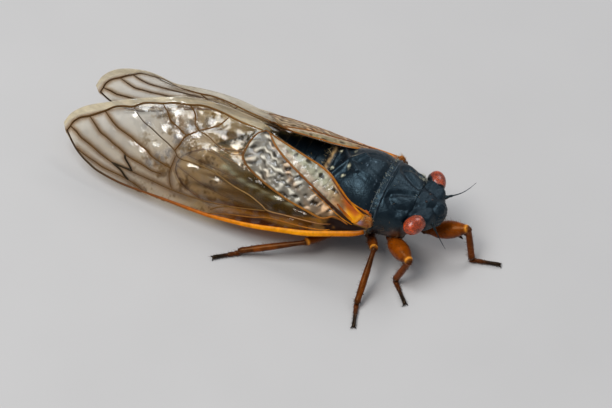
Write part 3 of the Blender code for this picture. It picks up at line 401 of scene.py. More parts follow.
# Name, the skin that the hairs stand on, share of all hairs, colour, length and where.
HAIR_FIELDS = [
    ("collar", "pronotum_plate", 0.14, "#b4b098", 0.6, rear_edge),
    ("pronotum_sides", "pronotum_plate", 0.12, "#7a5c3c", 0.8, low_sides),
    ("underside", "thorax_underside", 0.16, "#a88a5c", 1.3, low_sides),
    ("metanotum", "metanotum_plate", 0.07, "#c2a878", 0.7, all_over),
    ("mesonotum", "mesonotum_plate", 0.05, "#8c8a80", 0.5, low_sides),
    ("wing_roots", "wing_root", 0.05, "#b88a52", 0.8, all_over),
    ("abdomen", "abdomen_rings", 0.14, "#9c8450", 0.8, low_sides),
    ("face", "face_plate", 0.04, "#8c7a5c", 0.7, low_sides),
    ("femora", "femur_skin", 0.02, "#7a4c20", 0.7, all_over),
    ("tibiae", "tibia_skin", 0.02, "#6e4420", 0.7, all_over),
    ("feet", "tarsus_skin", 0.01, "#6a4a2c", 0.5, all_over),
]

# How strongly the film mirrors the room when seen flat on and at its edge.
FILM_MIRROR_FLAT = 0.05
FILM_MIRROR_EDGE = 0.35
FILM_MIRROR_CURVE = 4.0
FILM_MIRROR_DULLED = 0.97
# Seen along itself the film is a long way through: it hides more and turns tan.
FILM_EDGE_COVER = 0.9
FILM_EDGE_TAN = (0.80, 0.60, 0.38, 1)

# The camera's right, up and back directions in the row frame, read from the photograph.
VIEW_RIGHT = (0.918, 0.380, 0.110)
VIEW_UP = (-0.362, 0.695, 0.621)
VIEW_BACK = (0.1595, -0.6099, 0.7756)
VIEW_MIDDLE = (-8.964, 3.349)
PIXELS_PER_MM = 8.3
PHOTO_WIDTH = 612
SENSOR = 36.0
# Soft square panels: the value that holds the power, then way, distance and size in metres
# and colour.
PANELS = {
    "overhead_panel": ("sky_power", (-0.35, -0.25, 0.92), 0.5, 0.28, (0.86, 0.94, 1.0)),
    "front_panel": ("fill_power", (-0.22, -0.5, 0.84), 0.55, 0.14, (1.0, 0.98, 0.95)),
    "back_panel": ("back_power", (0.15, 0.66, 0.74), 0.55, 0.26, (0.9, 0.95, 1.0)),
}
ROOM_COLOUR = (0.76, 0.86, 1.0, 1)
ROOM_STRENGTH = 0.25
FLOOR_SIZE = 3.0


class CicadaLook(bpy.types.PropertyGroup):
    """Colours and sizes of the animal that a user may want to change."""

    black: FloatVectorProperty(
        name="Back", description="Colour of the dark plates", subtype="COLOR", size=3,
        min=0, max=1, default=(0.0010, 0.0025, 0.0046))
    amber: FloatVectorProperty(
        name="Legs", description="Colour of the fore legs", subtype="COLOR", size=3,
        min=0, max=1, default=(0.200, 0.036, 0.001))
    eye_red: FloatVectorProperty(
        name="Eyes", description="Colour of the compound eyes", subtype="COLOR", size=3,
        min=0, max=1, default=(0.640, 0.075, 0.010))
    film: FloatVectorProperty(
        name="Hind film", description="Tint of the hind wings' film", subtype="COLOR", size=3,
        min=0, max=1, default=(0.900, 0.830, 0.680))
    film_cover: FloatProperty(
        name="Film cover", description="How much of what is behind a wing its film hides",
        min=0.02, max=1.0, default=0.05, subtype="FACTOR")
    hair_length: FloatProperty(
        name="Hair", description="Length of the hairs on the back", min=0.0001, max=0.002,
        default=0.00045, unit="LENGTH")
    hair_count: IntProperty(
        name="Hairs", description="How many hairs stand on the body", min=0, max=12000,
        default=5200)


class CicadaStage(bpy.types.PropertyGroup):
    """The floor, lights and camera."""

    floor: FloatVectorProperty(
        name="Floor", description="Colour of the floor", subtype="COLOR", size=3, min=0, max=1,
        default=(0.575, 0.53, 0.498))
    sky_power: FloatProperty(
        name="Overhead light", description="Power of the wide panel overhead", min=0, max=100,
        default=1.75)
    fill_power: FloatProperty(
        name="Front light", description="Power of the panel beside the camera", min=0, max=100,
        default=0.55)
    back_power: FloatProperty(
        name="Back light", description="Power of the panel behind the animal", min=0, max=100,
        default=0.85)
    camera_distance: FloatProperty(
        name="Camera distance", description="From the camera to the animal", min=0.2, max=3.0,
        default=0.6, unit="LENGTH")


def sea(code):
    """An sRGB hex colour as linear red, green, blue."""
    parts = [int(code[k:k + 2], 16) / 255 for k in (1, 3, 5)]
    return np.array([p / 12.92 if p <= 0.04045 else ((p + 0.055) / 1.055) ** 2.4 for p in parts])


# Noise scales: blooms of wax about 0.6 mm wide, and facets 0.12 mm wide, where real ones
# are about 0.03 mm.
BLOOM_SCALE = 1700.0
FACET_SCALE = 8500.0
MULTIPLY = {"data_type": "RGBA", "blend_type": "MULTIPLY"}


def feed(tree, node, inputs):
    """Gives a node's inputs their values and links."""
    for key, value in inputs.items():
        if isinstance(value, bpy.types.NodeSocket):
            tree.links.new(value, node.inputs[key])
        else:
            node.inputs[key].default_value = value


def add_node(tree, kind, inputs=None, stops=(), **settings):
    """Adds a node with its settings, values, links and, for a ramp, places and grey levels."""
    made = tree.nodes.new(kind)
    for key, value in settings.items():
        setattr(made, key, value)
    feed(tree, made, inputs or {})
    if stops:
        band = made.color_ramp.elements
        for k in (0, -1):
            band[k].position = stops[k][0]
            band[k].color = (*[stops[k][1]] * 3, 1)
        for place, level in stops[1:-1]:
            band.new(place).color = (level, level, level, 1)
    return made


def new_material(name):
    """An empty material with its node tree and its Principled shader."""
    made = bpy.data.materials.new(name)
    made.use_nodes = True
    return made, made.node_tree, made.node_tree.nodes["Principled BSDF"]


def chitin(name, rough, bump_mm, pit_mm, bloom, gleam=0.5, sheen=(1, 1, 1)):
    """Hard insect skin: painted colour, a waxy bloom in patches and fine pits.

    The pits are drawn at pit_mm, coarser than the real ones, so that they show.
    sheen is the colour of what it mirrors.
    """
    made, tree, shader = new_material(name)
    place = add_node(tree, "ShaderNodeTexCoord").outputs["Object"]
    paint = add_node(tree, "ShaderNodeAttribute", attribute_name="paint").outputs["Color"]
    cloud = add_node(tree, "ShaderNodeTexNoise", {
        "Vector": place, "Scale": BLOOM_SCALE, "Detail": 4.0, "Roughness": 0.6})
    fine = add_node(tree, "ShaderNodeTexNoise", {
        "Vector": place, "Scale": 1.0 / (pit_mm * MM), "Detail": 3.0, "Roughness": 0.65})
    pits = add_node(tree, "ShaderNodeTexVoronoi", {"Vector": place, "Scale": 0.7 / (pit_mm * MM)})
    both = add_node(tree, "ShaderNodeMath", {
        0: fine.outputs["Fac"], 1: pits.outputs["Distance"]}, operation="ADD")
    raised = add_node(tree, "ShaderNodeBump", {
        "Height": both.outputs[0], "Strength": 0.6, "Distance": bump_mm * MM})
    shade = add_node(tree, "ShaderNodeValToRGB", {"Fac": cloud.outputs["Fac"]},
                     [(0.3, 0.72), (0.7, 1.25)])
    gloss = add_node(tree, "ShaderNodeValToRGB", {"Fac": cloud.outputs["Fac"]},
                     [(0.3, rough - bloom), (0.7, rough + bloom)])
    base = add_node(tree, "ShaderNodeMix", {0: 1.0, 6: paint, 7: shade.outputs["Color"]},
                    **MULTIPLY)
    feed(tree, shader, {
        "Base Color": base.outputs[2], "Roughness": gloss.outputs["Color"],
        "Normal": raised.outputs["Normal"], "IOR": 1.55, "Specular IOR Level": gleam,
        "Specular Tint": (*sheen, 1)})
    return made


def eye_material():
    """Compound eye: thousands of facets under a clear lens layer, red from within."""
    made, tree, shader = new_material("compound_eye_faceted_cornea")
    place = add_node(tree, "ShaderNodeTexCoord").outputs["Object"]
    paint = add_node(tree, "ShaderNodeAttribute", attribute_name="paint").outputs["Color"]
    facets = add_node(tree, "ShaderNodeTexVoronoi", {"Vector": place, "Scale": FACET_SCALE},
                      feature="F1")
    # Clouds in the red, and a cornea that is worn dull in places.
    cloud = add_node(tree, "ShaderNodeTexNoise", {
        "Vector": place, "Scale": 1300.0, "Detail": 4.0, "Roughness": 0.6})
    shade = add_node(tree, "ShaderNodeValToRGB", {"Fac": facets.outputs["Distance"]},
                     [(0.0, 1.3), (0.35, 1.05), (0.7, 0.4)])
    mottle = add_node(tree, "ShaderNodeValToRGB", {"Fac": cloud.outputs["Fac"]},
                      [(0.34, 0.5), (0.48, 1.0), (0.68, 1.5)])
    gloss = add_node(tree, "ShaderNodeValToRGB", {"Fac": cloud.outputs["Fac"]},
                     [(0.42, 0.5), (0.6, 0.2)])
    faceted = add_node(tree, "ShaderNodeMix", {0: 1.0, 6: paint, 7: shade.outputs["Color"]},
                       **MULTIPLY)
    base = add_node(tree, "ShaderNodeMix", {
        0: 1.0, 6: faceted.outputs[2], 7: mottle.outputs["Color"]}, **MULTIPLY)
    raised = add_node(tree, "ShaderNodeBump", {
        "Height": facets.outputs["Distance"], "Strength": 0.5, "Distance": 0.03 * MM}, invert=True)
    feed(tree, shader, {
        "Base Color": base.outputs[2], "Roughness": gloss.outputs["Color"],
        "Normal": raised.outputs["Normal"], "IOR": 1.45, "Coat Weight": 0.35,
        "Coat Roughness": 0.12, "Subsurface Weight": 0.15,
        "Subsurface Radius": (1.0, 0.25, 0.15), "Subsurface Scale": 0.3 * MM})
    return made


def film_material():
    """Wing film: a clear chitin skin, tinted and wrinkled.

    A thin film mirrors the sky on both faces although it is clear, so the mirror part
    is laid over the tint and isn't thinned with it.
    """
    made, tree, shader = new_material("wing_film_clear_chitin")
    flat = add_node(tree, "ShaderNodeUVMap", uv_map="wing_flat").outputs["UV"]
    paint = add_node(tree, "ShaderNodeAttribute", attribute_name="paint")
    tone, hide = paint.outputs["Color"], paint.outputs["Alpha"]
    fine = add_node(tree, "ShaderNodeTexNoise", {
        "Vector": flat, "Scale": 70.0, "Detail": 4.0, "Roughness": 0.6, "Distortion": 0.6})
    bent = add_node(tree, "ShaderNodeBump", {
        "Height": fine.outputs["Fac"], "Strength": 0.24, "Distance": 0.1 * MM}).outputs["Normal"]
    facing = add_node(tree, "ShaderNodeLayerWeight", {"Blend": 0.5, "Normal": bent})
    grazing = add_node(tree, "ShaderNodeMath", {
        0: facing.outputs["Facing"], 1: FILM_MIRROR_CURVE}, operation="POWER").outputs[0]
    # The skin itself: streaks of tint, which turn tan where it is seen along itself.
    streak = add_node(tree, "ShaderNodeMapping", {"Vector": flat, "Scale": (16.0, 50.0, 1.0)})
    cloud = add_node(tree, "ShaderNodeTexNoise", {
        "Vector": streak.outputs[0], "Scale": 1.0, "Detail": 6.0, "Roughness": 0.65})
    shade = add_node(tree, "ShaderNodeValToRGB", {"Fac": cloud.outputs["Fac"]},
                     [(0.3, 0.7), (0.7, 1.25)])
    shaded = add_node(tree, "ShaderNodeMix", {0: 1.0, 6: tone, 7: shade.outputs["Color"]},
                      **MULTIPLY)
    deep = add_node(tree, "ShaderNodeMix", {
        0: grazing, 6: shaded.outputs[2], 7: FILM_EDGE_TAN}, **MULTIPLY)
    feed(tree, shader, {"Base Color": deep.outputs[2], "Normal": bent, "Roughness": 0.45,
                        "Specular IOR Level": 0.06})
    through = add_node(tree, "ShaderNodeBsdfTransparent", {"Color": tone})
    hides = add_node(tree, "ShaderNodeMath", {0: grazing, 1: FILM_EDGE_COVER, 2: hide},
                     operation="MULTIPLY_ADD", use_clamp=True)
    body = add_node(tree, "ShaderNodeMixShader", {
        0: hides.outputs[0], 1: through.outputs[0], 2: shader.outputs[0]})
    # The mirror part: more at its edge, less on thick and wrinkled parts, and in patches of
    # a millimetre where the film is clean, with dust between them.
    share = add_node(tree, "ShaderNodeMath", {
        0: grazing, 1: FILM_MIRROR_EDGE, 2: FILM_MIRROR_FLAT}, operation="MULTIPLY_ADD")
    cover = add_node(tree, "ShaderNodeMath", {0: hide, 1: 3.0}, operation="POWER")
    dull = add_node(tree, "ShaderNodeMath", {
        0: cover.outputs[0], 1: -FILM_MIRROR_DULLED, 2: 1.0}, operation="MULTIPLY_ADD")
    dust = add_node(tree, "ShaderNodeTexNoise", {
        "Vector": flat, "Scale": 34.0, "Detail": 2.0, "Roughness": 0.5})
    clean = add_node(tree, "ShaderNodeValToRGB", {"Fac": dust.outputs["Fac"]},
                     [(0.47, 0.08), (0.57, 1.35)])
    for part in (dull.outputs[0], clean.outputs["Color"]):
        share = add_node(tree, "ShaderNodeMath", {0: share.outputs[0], 1: part},
                         operation="MULTIPLY")
    mirror = add_node(tree, "ShaderNodeBsdfGlossy", {"Roughness": 0.07, "Normal": bent})
    both = add_node(tree, "ShaderNodeMixShader", {
        0: share.outputs[0], 1: body.outputs[0], 2: mirror.outputs[0]})
    feed(tree, tree.nodes["Material Output"], {"Surface": both.outputs[0]})
    return made


FINISHES = {}


def finish(key):
    """A finish, made the first time that it is asked for."""
    makers = {
        # Black melanised chitin: satin, with a grey-blue bloom where light falls flat on it.
        "black": lambda: chitin("melanised_chitin_waxy", 0.42, 0.034, 0.16, 0.09, gleam=0.44,
                                sheen=(0.56, 0.84, 1.0)),
        # The head's skin is pitted and matt, with a dull blue sheen.
        "head": lambda: chitin("melanised_chitin_pitted", 0.52, 0.05, 0.2, 0.08, gleam=0.45,
                               sheen=(0.58, 0.84, 1.0)),
        # Amber chitin of the legs: smoother and glossier than the back.
        "amber": lambda: chitin("amber_chitin_smooth", 0.3, 0.012, 0.14, 0.06, gleam=0.22,
                                sheen=(1.0, 0.6, 0.28)),
        # Veins are round tubes of thick chitin, polished by wear.
        "vein": lambda: chitin("wing_vein_tubular_chitin", 0.36, 0.008, 0.1, 0.05, gleam=0.18,
                               sheen=(1.0, 0.75, 0.45)),
        # Hairs are fine, stiff and pale, each a single bristle.
        "hair": lambda: chitin("bristle_keratin_like_chitin", 0.45, 0.002, 0.05, 0.05),
        "eye": eye_material,
        "film": film_material,
    }
    if key not in FINISHES:
        FINISHES[key] = makers[key]()
    return FINISHES[key]


def fade(value, low, high):
    """From 0 at low to 1 at high, smoothly."""
    share = np.clip((value - low) / (high - low), 0.0, 1.0)
    return share * share * (3 - 2 * share)


def bell(value, width):
    """1 at zero, falling off over a width."""
    return np.exp(-(value / width) ** 2)


def blend_colour(one, two, share):
    """A colour between two, point by point."""
    return one + (np.asarray(two) - one) * np.asarray(share)[..., None]


def ripple(points, waves, seed, count=7):
    """A smooth irregular wave over points, the same on every run."""
    draw = np.random.default_rng(seed)
    total = np.zeros(points.shape[:-1])
    for _ in range(count):
        way = draw.normal(size=points.shape[-1])
        way *= waves * draw.uniform(0.6, 1.5) / np.linalg.norm(way)
        total += np.sin(points @ way * math.tau + draw.uniform(0, math.tau))
    return total / count * 1.4


def smooth_rows(rows, shares):
    """Rows of numbers read at shares of their length on a smooth curve."""
    rows = np.array(rows, dtype=float)
    ends = np.vstack([2 * rows[0] - rows[1], rows, 2 * rows[-1] - rows[-2]])
    at = np.clip(shares, 0, 1) * (len(rows) - 1)
    i = np.minimum(at.astype(int), len(rows) - 2)
    t = (at - i)[:, None]
    p0, p1, p2, p3 = (ends[i + k] for k in range(4))
    return 0.5 * (2 * p1 + (p2 - p0) * t + (2 * p0 - 5 * p1 + 4 * p2 - p3) * t ** 2
                  + (3 * p1 - p0 - 3 * p2 + p3) * t ** 3)


def even_rows(rows, step):
    """Rows at about even steps along a smooth curve; the step is in millimetres."""
    fine = smooth_rows(rows, np.linspace(0, 1, len(rows) * 24))
    lengths = np.linalg.norm(np.diff(fine[:, :3], axis=0), axis=1)
    marks = np.concatenate([[0], np.cumsum(lengths)])
    count = max(4, int(marks[-1] / step) + 1)
    want = np.linspace(0, marks[-1], count)
    return np.stack([np.interp(want, marks, column) for column in fine.T], axis=1)


def reach(points, line):
    """Distance of flat points from a line of flat points."""
    line = np.array(line, dtype=float)
    best = np.full(points.shape[:-1], 1e9)
    for start, end in zip(line, line[1:]):
        way = end - start
        share = np.clip((points - start) @ way / (way @ way), 0, 1)
        best = np.minimum(best, np.linalg.norm(points - start - share[..., None] * way, axis=-1))
    return best


def ring_faces(rings, sides, round_about=True):
    """Quads between like rows of points."""
    last = sides if round_about else sides - 1
    faces = []
    for i in range(rings - 1):
        for k in range(last):
            a, b = i * sides + k, i * sides + (k + 1) % sides
            faces.append((a, b, b + sides, a + sides))
    return faces


def make_piece(name, verts, faces, key, nodes=(), paint=None, closed=True):
    """A piece from points in millimetres, which rides on the body.

    It stands for the named CAD nodes and takes the finish named by key.
    """
    mesh = bpy.data.meshes.new(name)
    verts = np.asarray(verts, dtype=float).reshape(-1, 3)
    mesh.from_pydata((verts * MM + ZERO).tolist(), [], faces)
    if paint is not None:
        paint = np.asarray(paint, dtype=float).reshape(len(verts), -1)
        if paint.shape[1] == 3:
            paint = np.hstack([paint, np.ones((len(verts), 1))])
        layer = mesh.attributes.new("paint", "FLOAT_COLOR", "POINT")
        layer.data.foreach_set("color", paint.ravel())
    if closed:
        bm = bmesh.new()
        bm.from_mesh(mesh)
        bmesh.ops.recalc_face_normals(bm, faces=bm.faces)
        bm.to_mesh(mesh)
        bm.free()
    mesh.shade_smooth()
    mesh.materials.append(finish(key))
    made = bpy.data.objects.new(name, mesh)
    bpy.context.scene.collection.objects.link(made)
    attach(made, "root")
    if nodes:
        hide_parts(*nodes)
    return made


def loft_points(rings):
    """Points and faces of a skin over rings, closed at both ends."""
    rings = np.asarray(rings)
    count, sides = rings.shape[:2]
    verts = np.vstack([rings.reshape(-1, 3), rings[0].mean(axis=0), rings[-1].mean(axis=0)])
    faces = ring_faces(count, sides)
    first, last = count * sides, count * sides + 1
    for k in range(sides):
        faces.append((k, (k + 1) % sides, first))
        faces.append(((count - 1) * sides + k, (count - 1) * sides + (k + 1) % sides, last))
    return verts, faces


def plate_rings(rows, count, sides, relief=None):
    """Cross-sections of a length of the body with its relief and rounded lips."""
    table = smooth_rows(rows, np.linspace(0, 1, count))
    turn = np.arange(sides) * math.tau / sides
    cos, sin = np.cos(turn), np.sin(turn)
    x, middle, half, up, down = (column[:, None] for column in table.T)
    flat, tall = (np.sign(wave) * np.abs(wave) ** (2 / PLATE_POWER) for wave in (cos, sin))
    tall_reach = np.where(sin > 0, up, down)
    rings = np.stack(np.broadcast_arrays(x, half * flat, middle + tall_reach * tall), axis=-1)
    out = np.stack(np.broadcast_arrays(0 * x, flat / half, tall / tall_reach), axis=-1)
    out = out / np.linalg.norm(out, axis=-1, keepdims=True)
    if relief:
        rings = rings + out * relief(rings)[..., None]
    sense = math.copysign(1, rows[0][0] - rows[-1][0])
    ends = []
    for ring, way in ((rings[0], sense), (rings[-1], -sense)):
        centre = ring.mean(axis=0)
        ends.append([centre + (ring - centre) * share + np.array([way * PLATE_LIP * rise, 0, 0])
                     for share, rise in LIP_STEPS])
    return np.vstack([np.array(ends[0][::-1]), rings, np.array(ends[1])])


def tube_rings(rows, sides):
    """Rings round a line whose rows give x, y, z and a radius."""
    rows = np.asarray(rows, dtype=float)
    places, radii = rows[:, :3], rows[:, 3]
    ways = np.gradient(places, axis=0)
    ways /= np.linalg.norm(ways, axis=1, keepdims=True)
    across = np.cross(ways[0], (0.0, 0.0, 1.0))
    if np.linalg.norm(across) < 0.1:
        across = np.cross(ways[0], (0.0, 1.0, 0.0))
    turn = np.arange(sides) * math.tau / sides
    rings = []
    for place, way, radius in zip(places, ways, radii):
        across = across - way * across.dot(way)
        across /= np.linalg.norm(across)
        other = np.cross(way, across)
        ring = np.cos(turn)[:, None] * across + np.sin(turn)[:, None] * other
        rings.append(place + radius * ring)
    return np.array(rings)


def join_shapes(shapes):
    """Several shapes of points, faces and paint as one."""
    verts, faces, paint, start = [], [], [], 0
    for shape_verts, shape_faces, shape_paint in shapes:
        verts.append(shape_verts)
        faces.extend(tuple(k + start for k in face) for face in shape_faces)
        paint.append(shape_paint)
        start += len(shape_verts)
    return np.vstack(verts), faces, np.vstack(paint)


def spike_shape(root, tip, radius, colour, bend=(0, 0, 0)):
    """A curved spine that tapers to a point."""
    root, tip = np.array(root, dtype=float), np.array(tip, dtype=float)
    rows = []
    for share in np.linspace(0, 1, SPIKE_RINGS):
        place = root + (tip - root) * share + np.array(bend) * math.sin(math.pi * share) * 0.8
        rows.append((*place, radius * (1 - share) ** 0.7 + SPIKE_TIP))
    verts, faces = loft_points(tube_rings(rows, SPIKE_SIDES))
    return verts, faces, np.tile(colour, (len(verts), 1))


def bead_shape(at, radius, colour, detail):
    """A ball made from a sphere primitive with the given segments and rings."""
    segments, rings = detail
    bpy.ops.object.select_all(action="DESELECT")
    bpy.ops.mesh.primitive_uv_sphere_add(segments=segments, ring_count=rings, radius=radius)
    made = bpy.context.object
    mesh = made.data
    verts = np.array([vert.co[:] for vert in mesh.vertices])
    faces = [tuple(face.vertices) for face in mesh.polygons]
    bpy.data.objects.remove(made)
    bpy.data.meshes.remove(mesh)
    verts, faces = in_order(verts, faces)
    return verts + np.array(at), faces, np.tile(colour, (len(verts), 1))


def in_order(verts, faces):
    """A primitive's points and faces in an order that is the same on every run."""
    order = np.lexsort(verts.T.round(6))
    rank = np.argsort(order)
    turned = []
    for face in faces:
        corners = [int(rank[k]) for k in face]
        first = corners.index(min(corners))
        turned.append(tuple(corners[first:] + corners[:first]))
    return verts[order], sorted(turned)


def turned_egg(verts, size, degrees, at):
    """A ball's points stretched to a size, turned about the upright and put in place."""
    turned = np.array(Matrix.Rotation(math.radians(degrees), 3, "Z"))
    return (verts * np.array(size)) @ turned.T + at


# Colours that are painted on the points of each piece.
BROWN_DARK = sea("#2a160b")
BROWN = sea("#5c2a0e")
BROWN_RED = sea("#6e2f0c")
LEG_ORANGE = sea("#7a3a0a")
# Lighter orange painted as light on the upper side of the thighs.
ORANGE_PAINTED_LIGHT = sea("#a85208")
# Gold of the knee band, partly a painted highlight.
KNEE_GOLD_AND_HIGHLIGHT = sea("#d8882a")
ORANGE_SKIN = sea("#8c4212")
CHEEK_ORANGE = sea("#5a3212")
TAN = sea("#b08a5a")
CREAM = sea("#cfc6a4")
SOOT = sea("#14120f")
# Pale blue-grey of scuffs and of painted highlights and glints on the back.
PALE_WEAR_AND_SHEEN = sea("#6d7a84")


def look():
    """The colours and sizes that a user may have changed."""
    return bpy.context.scene.cicada_look


def black_paint(points, seed):
    """The dark blue-black of the plates, a little uneven."""
    base = np.array(look().black)
    wave = ripple(points, 0.35, seed)
    return base * (1 + 0.22 * wave[..., None])


def seen(points):
    """Points as x, y, z and distance to the side, and the flat places of x and that distance."""
    x, y, z = np.moveaxis(points, -1, 0)
    side = np.abs(y)
    return x, y, z, side, np.stack([x, side], -1)


def head_relief(points):
    """Eye rims, ledges over the feelers, narrowing cheeks, and hollows round the simple eyes."""
    x, y, z, side, flat = seen(points)
    top = fade(z, 7.6, 8.4)
    eye = np.sqrt((x - EYE_AT[0]) ** 2 + (side - EYE_AT[1]) ** 2 + (z - EYE_AT[2]) ** 2)
    rim = 0.55 * bell(eye - 1.2, 0.5) * fade(z, 7.8, 8.6) - 0.06 * bell(eye - 2.2, 0.3)
    ledge = 0.55 * bell(np.hypot(x - 6.3, side - 2.3), 0.62) * fade(z, 7.3, 8.1)
    knob = 0.16 * bell(np.hypot(x - 5.15, y), 0.7) * top
    hollow = -0.18 * bell(reach(flat, HEAD_HOLLOW), 0.32) * top
    hollow += -0.14 * bell(np.hypot(x - 6.35, side - 0.95), 0.4) * top
    line = -0.07 * bell(y, 0.09) * top * fade(x, 5.0, 4.2)
    lumps = 0.055 * ripple(points, 0.75, 14) + 0.028 * ripple(points, 1.7, 11)
    cheek = -0.65 * fade(z, 7.1, 5.4) * fade(side, 0.8, 2.0) * fade(x, 3.8, 4.5)
    return rim + ledge + knob + hollow + line + cheek + lumps


def pronotum_relief(points):
    """The collar, the slanting furrows on each side and the middle band."""
    x, y, z, side, flat = seen(points)
    top = fade(z, 6.2, 7.4)
    collar = 0.06 * bell(x - COLLAR_FRONT, 0.08) - 0.08 * bell(x - COLLAR_FRONT - 0.2, 0.13)
    collar += 0.035 * ripple(points * (0.35, 1, 1), 2.2, 24) * fade(x, 0.05, -0.15)
    collar += 0.04 * bell(x - PRONOTUM[-1][0], 0.12)
    furrows = -0.2 * bell(reach(flat, FURROW_INNER), 0.34)
    furrows = furrows - 0.26 * bell(reach(flat, FURROW_OUTER), 0.38)
    swell = 0.14 * bell(np.hypot(x - 2.0, side - 2.2), 0.75)
    swell = swell + 0.12 * bell(np.hypot(x - 1.3, side - 3.8), 0.7)
    middle = 0.04 * bell(side, 0.5) - 0.07 * bell(y, 0.14)
    flange = 0.22 * bell(z - 6.3, 0.5) * fade(x, 1.6, 0.0)
    lumps = 0.06 * ripple(points, 0.45, 22) + 0.025 * ripple(points, 1.2, 21)
    return (furrows + swell + middle) * top * fade(x, 0.1, 0.5) + collar + flange + lumps


def mesonotum_relief(points):
    """Faint shield lines in front and the raised cross with its hollows behind."""
    x, y, z, side, flat = seen(points)
    top = fade(z, 7.6, 8.6)
    lines = -0.05 * bell(reach(flat, SHIELD_INNER), 0.1)
    lines += -0.05 * bell(reach(flat, SHIELD_OUTER), 0.12)
    arms = np.minimum(*(reach(flat, arm) for arm in CROSS_ARMS))
    cross = 0.34 * bell(arms, 0.36) + 0.12 * bell(np.hypot(x + 5.5, y), 0.6)
    hollow = -0.28 * bell(np.hypot(x + 5.3, side - 1.7), 0.62)
    hollow += -0.2 * bell(np.hypot(x + 6.6, y), 0.55) - 0.14 * bell(np.hypot(x + 4.3, y), 0.4)
    rim = 0.1 * fade(x, -6.75, -7.0)
    ridge = 0.07 * bell(reach(flat, SHIELD_RIDGE), 0.2)
    lumps = 0.035 * ripple(points, 0.4, 32) + 0.012 * ripple(points, 1.3, 31)
    return (lines + ridge + cross + hollow) * top + rim + lumps


def ring_place(x):
    """How far back on its own ring of the abdomen a point lies, from 0 to 1."""
    length = ABDOMEN[0][0] - ABDOMEN[-1][0]
    share = (ABDOMEN[0][0] - x) / length * ABDOMEN_PLATES
    return share - np.floor(share)


def abdomen_relief(points):
    """Overlapping rings, each proud at its rear edge, and a faint keel."""
    x, y, z = np.moveaxis(points, -1, 0)
    part = ring_place(x)
    step = 0.17 * fade(part, 0.0, 0.85) * (1 - fade(part, 0.93, 1.0))
    keel = 0.05 * bell(y, 0.35) * fade(z, 6, 7)
    grain = 0.02 * ripple(points, 1.5, 41)
    return step + keel + grain


def head_marks(verts, paint):
    """Reddish brown low on the cheeks."""
    lower = fade(verts[:, 2], 6.6, 5.8) * fade(np.abs(verts[:, 1]), 1.2, 2.4)
    return blend_colour(paint, BROWN_RED * 0.5, lower * 0.8)


def pronotum_marks(verts, paint):
    """Brown soil low on the sides, an orange patch behind the eye and a pale painted highlight on the
    collar's edges.
    """
    x, y, z = verts.T
    side = np.abs(y)
    patch = fade(z, 7.4, 6.3) * fade(x, 0.9, 2.4) * fade(side, 2.0, 3.2)
    patch = patch * fade(ripple(verts, 0.5, 6), -0.9, 0.2)
    soil = fade(z, 7.8, 5.6) * fade(side, 2.5, 4.0) * fade(ripple(verts, 0.8, 25), -0.8, 0.5)
    paint = blend_colour(paint, BROWN_DARK, 0.75 * soil)
    paint = blend_colour(paint, CHEEK_ORANGE, 0.9 * patch)
    # Painted highlight: pale blue-grey in patches on the upper edges of the collar.
    painted_sheen = fade(ripple(verts, 1.1, 19), -0.9, 0.5) * fade(z, 6.8, 8.0)
    edge = np.maximum(bell(x - COLLAR_FRONT, 0.07), bell(x - PRONOTUM[-1][0] + 0.04, 0.08))
    return blend_colour(paint, PALE_WEAR_AND_SHEEN, 0.4 * edge * painted_sheen)


def mesonotum_marks(verts, paint):
    """Ragged spots of cream wax, and pale scuffs that are partly painted glints."""
    speck = fade(ripple(verts, 3.0, 8), -0.1, 0.5)
    ragged = ripple(verts, 1.6, 18)
    wax = np.zeros(len(verts))
    for at, size in WAX_SPOTS:
        for sign in SIDES.values():
            far = np.linalg.norm(verts - np.array(at) * (1, sign, 1), axis=1)
            wax = np.maximum(wax, fade(far / size + 0.45 * ragged, 1.15, 0.5))
    paint = blend_colour(paint, CREAM, wax * (0.2 + 0.8 * speck))
    # Pale scuffs high on the back, partly painted glints.
    scuff_and_glint = np.maximum.reduce([bell(reach(verts[:, :2], line), 0.06) for line in SCUFFS_AND_GLINTS])
    return blend_colour(paint, PALE_WEAR_AND_SHEEN, 0.8 * scuff_and_glint * speck * fade(verts[:, 2], 8, 9))


def metanotum_marks(verts, paint):
    """A broken tan strip across the top."""
    x, y, z = verts.T
    strip = bell(x + 7.75, 0.24) * fade(np.abs(y), 2.9, 1.8) * fade(z, 8.4, 9.0)
    strip = strip * (0.25 + 0.75 * fade(ripple(verts, 1.3, 20), -0.5, 0.3))
    return blend_colour(paint, TAN, 0.95 * strip)


def underside_marks(verts, paint):
    """Browner towards the belly."""
    return blend_colour(paint, BROWN_DARK, 0.6 * fade(verts[:, 2], 4.2, 3.0))


def abdomen_marks(verts, paint):
    """Brown hems on the rings and an orange belly."""
    part = ring_place(verts[:, 0])
    z = verts[:, 2]
    hem = fade(part, 0.78, 0.9) * (1 - fade(part, 0.95, 1.0))
    paint = blend_colour(paint, BROWN, 0.5 * hem * fade(z, 4.6, 3.4))
    belly = fade(z, 3.6, 2.6) * fade(part, 0.3, 0.6)
    return blend_colour(paint, ORANGE_SKIN, 0.75 * belly)


def tail_marks(verts, paint):
    """Brown at the tip."""
    return blend_colour(paint, BROWN_DARK, fade(verts[:, 0], -20.6, -22))


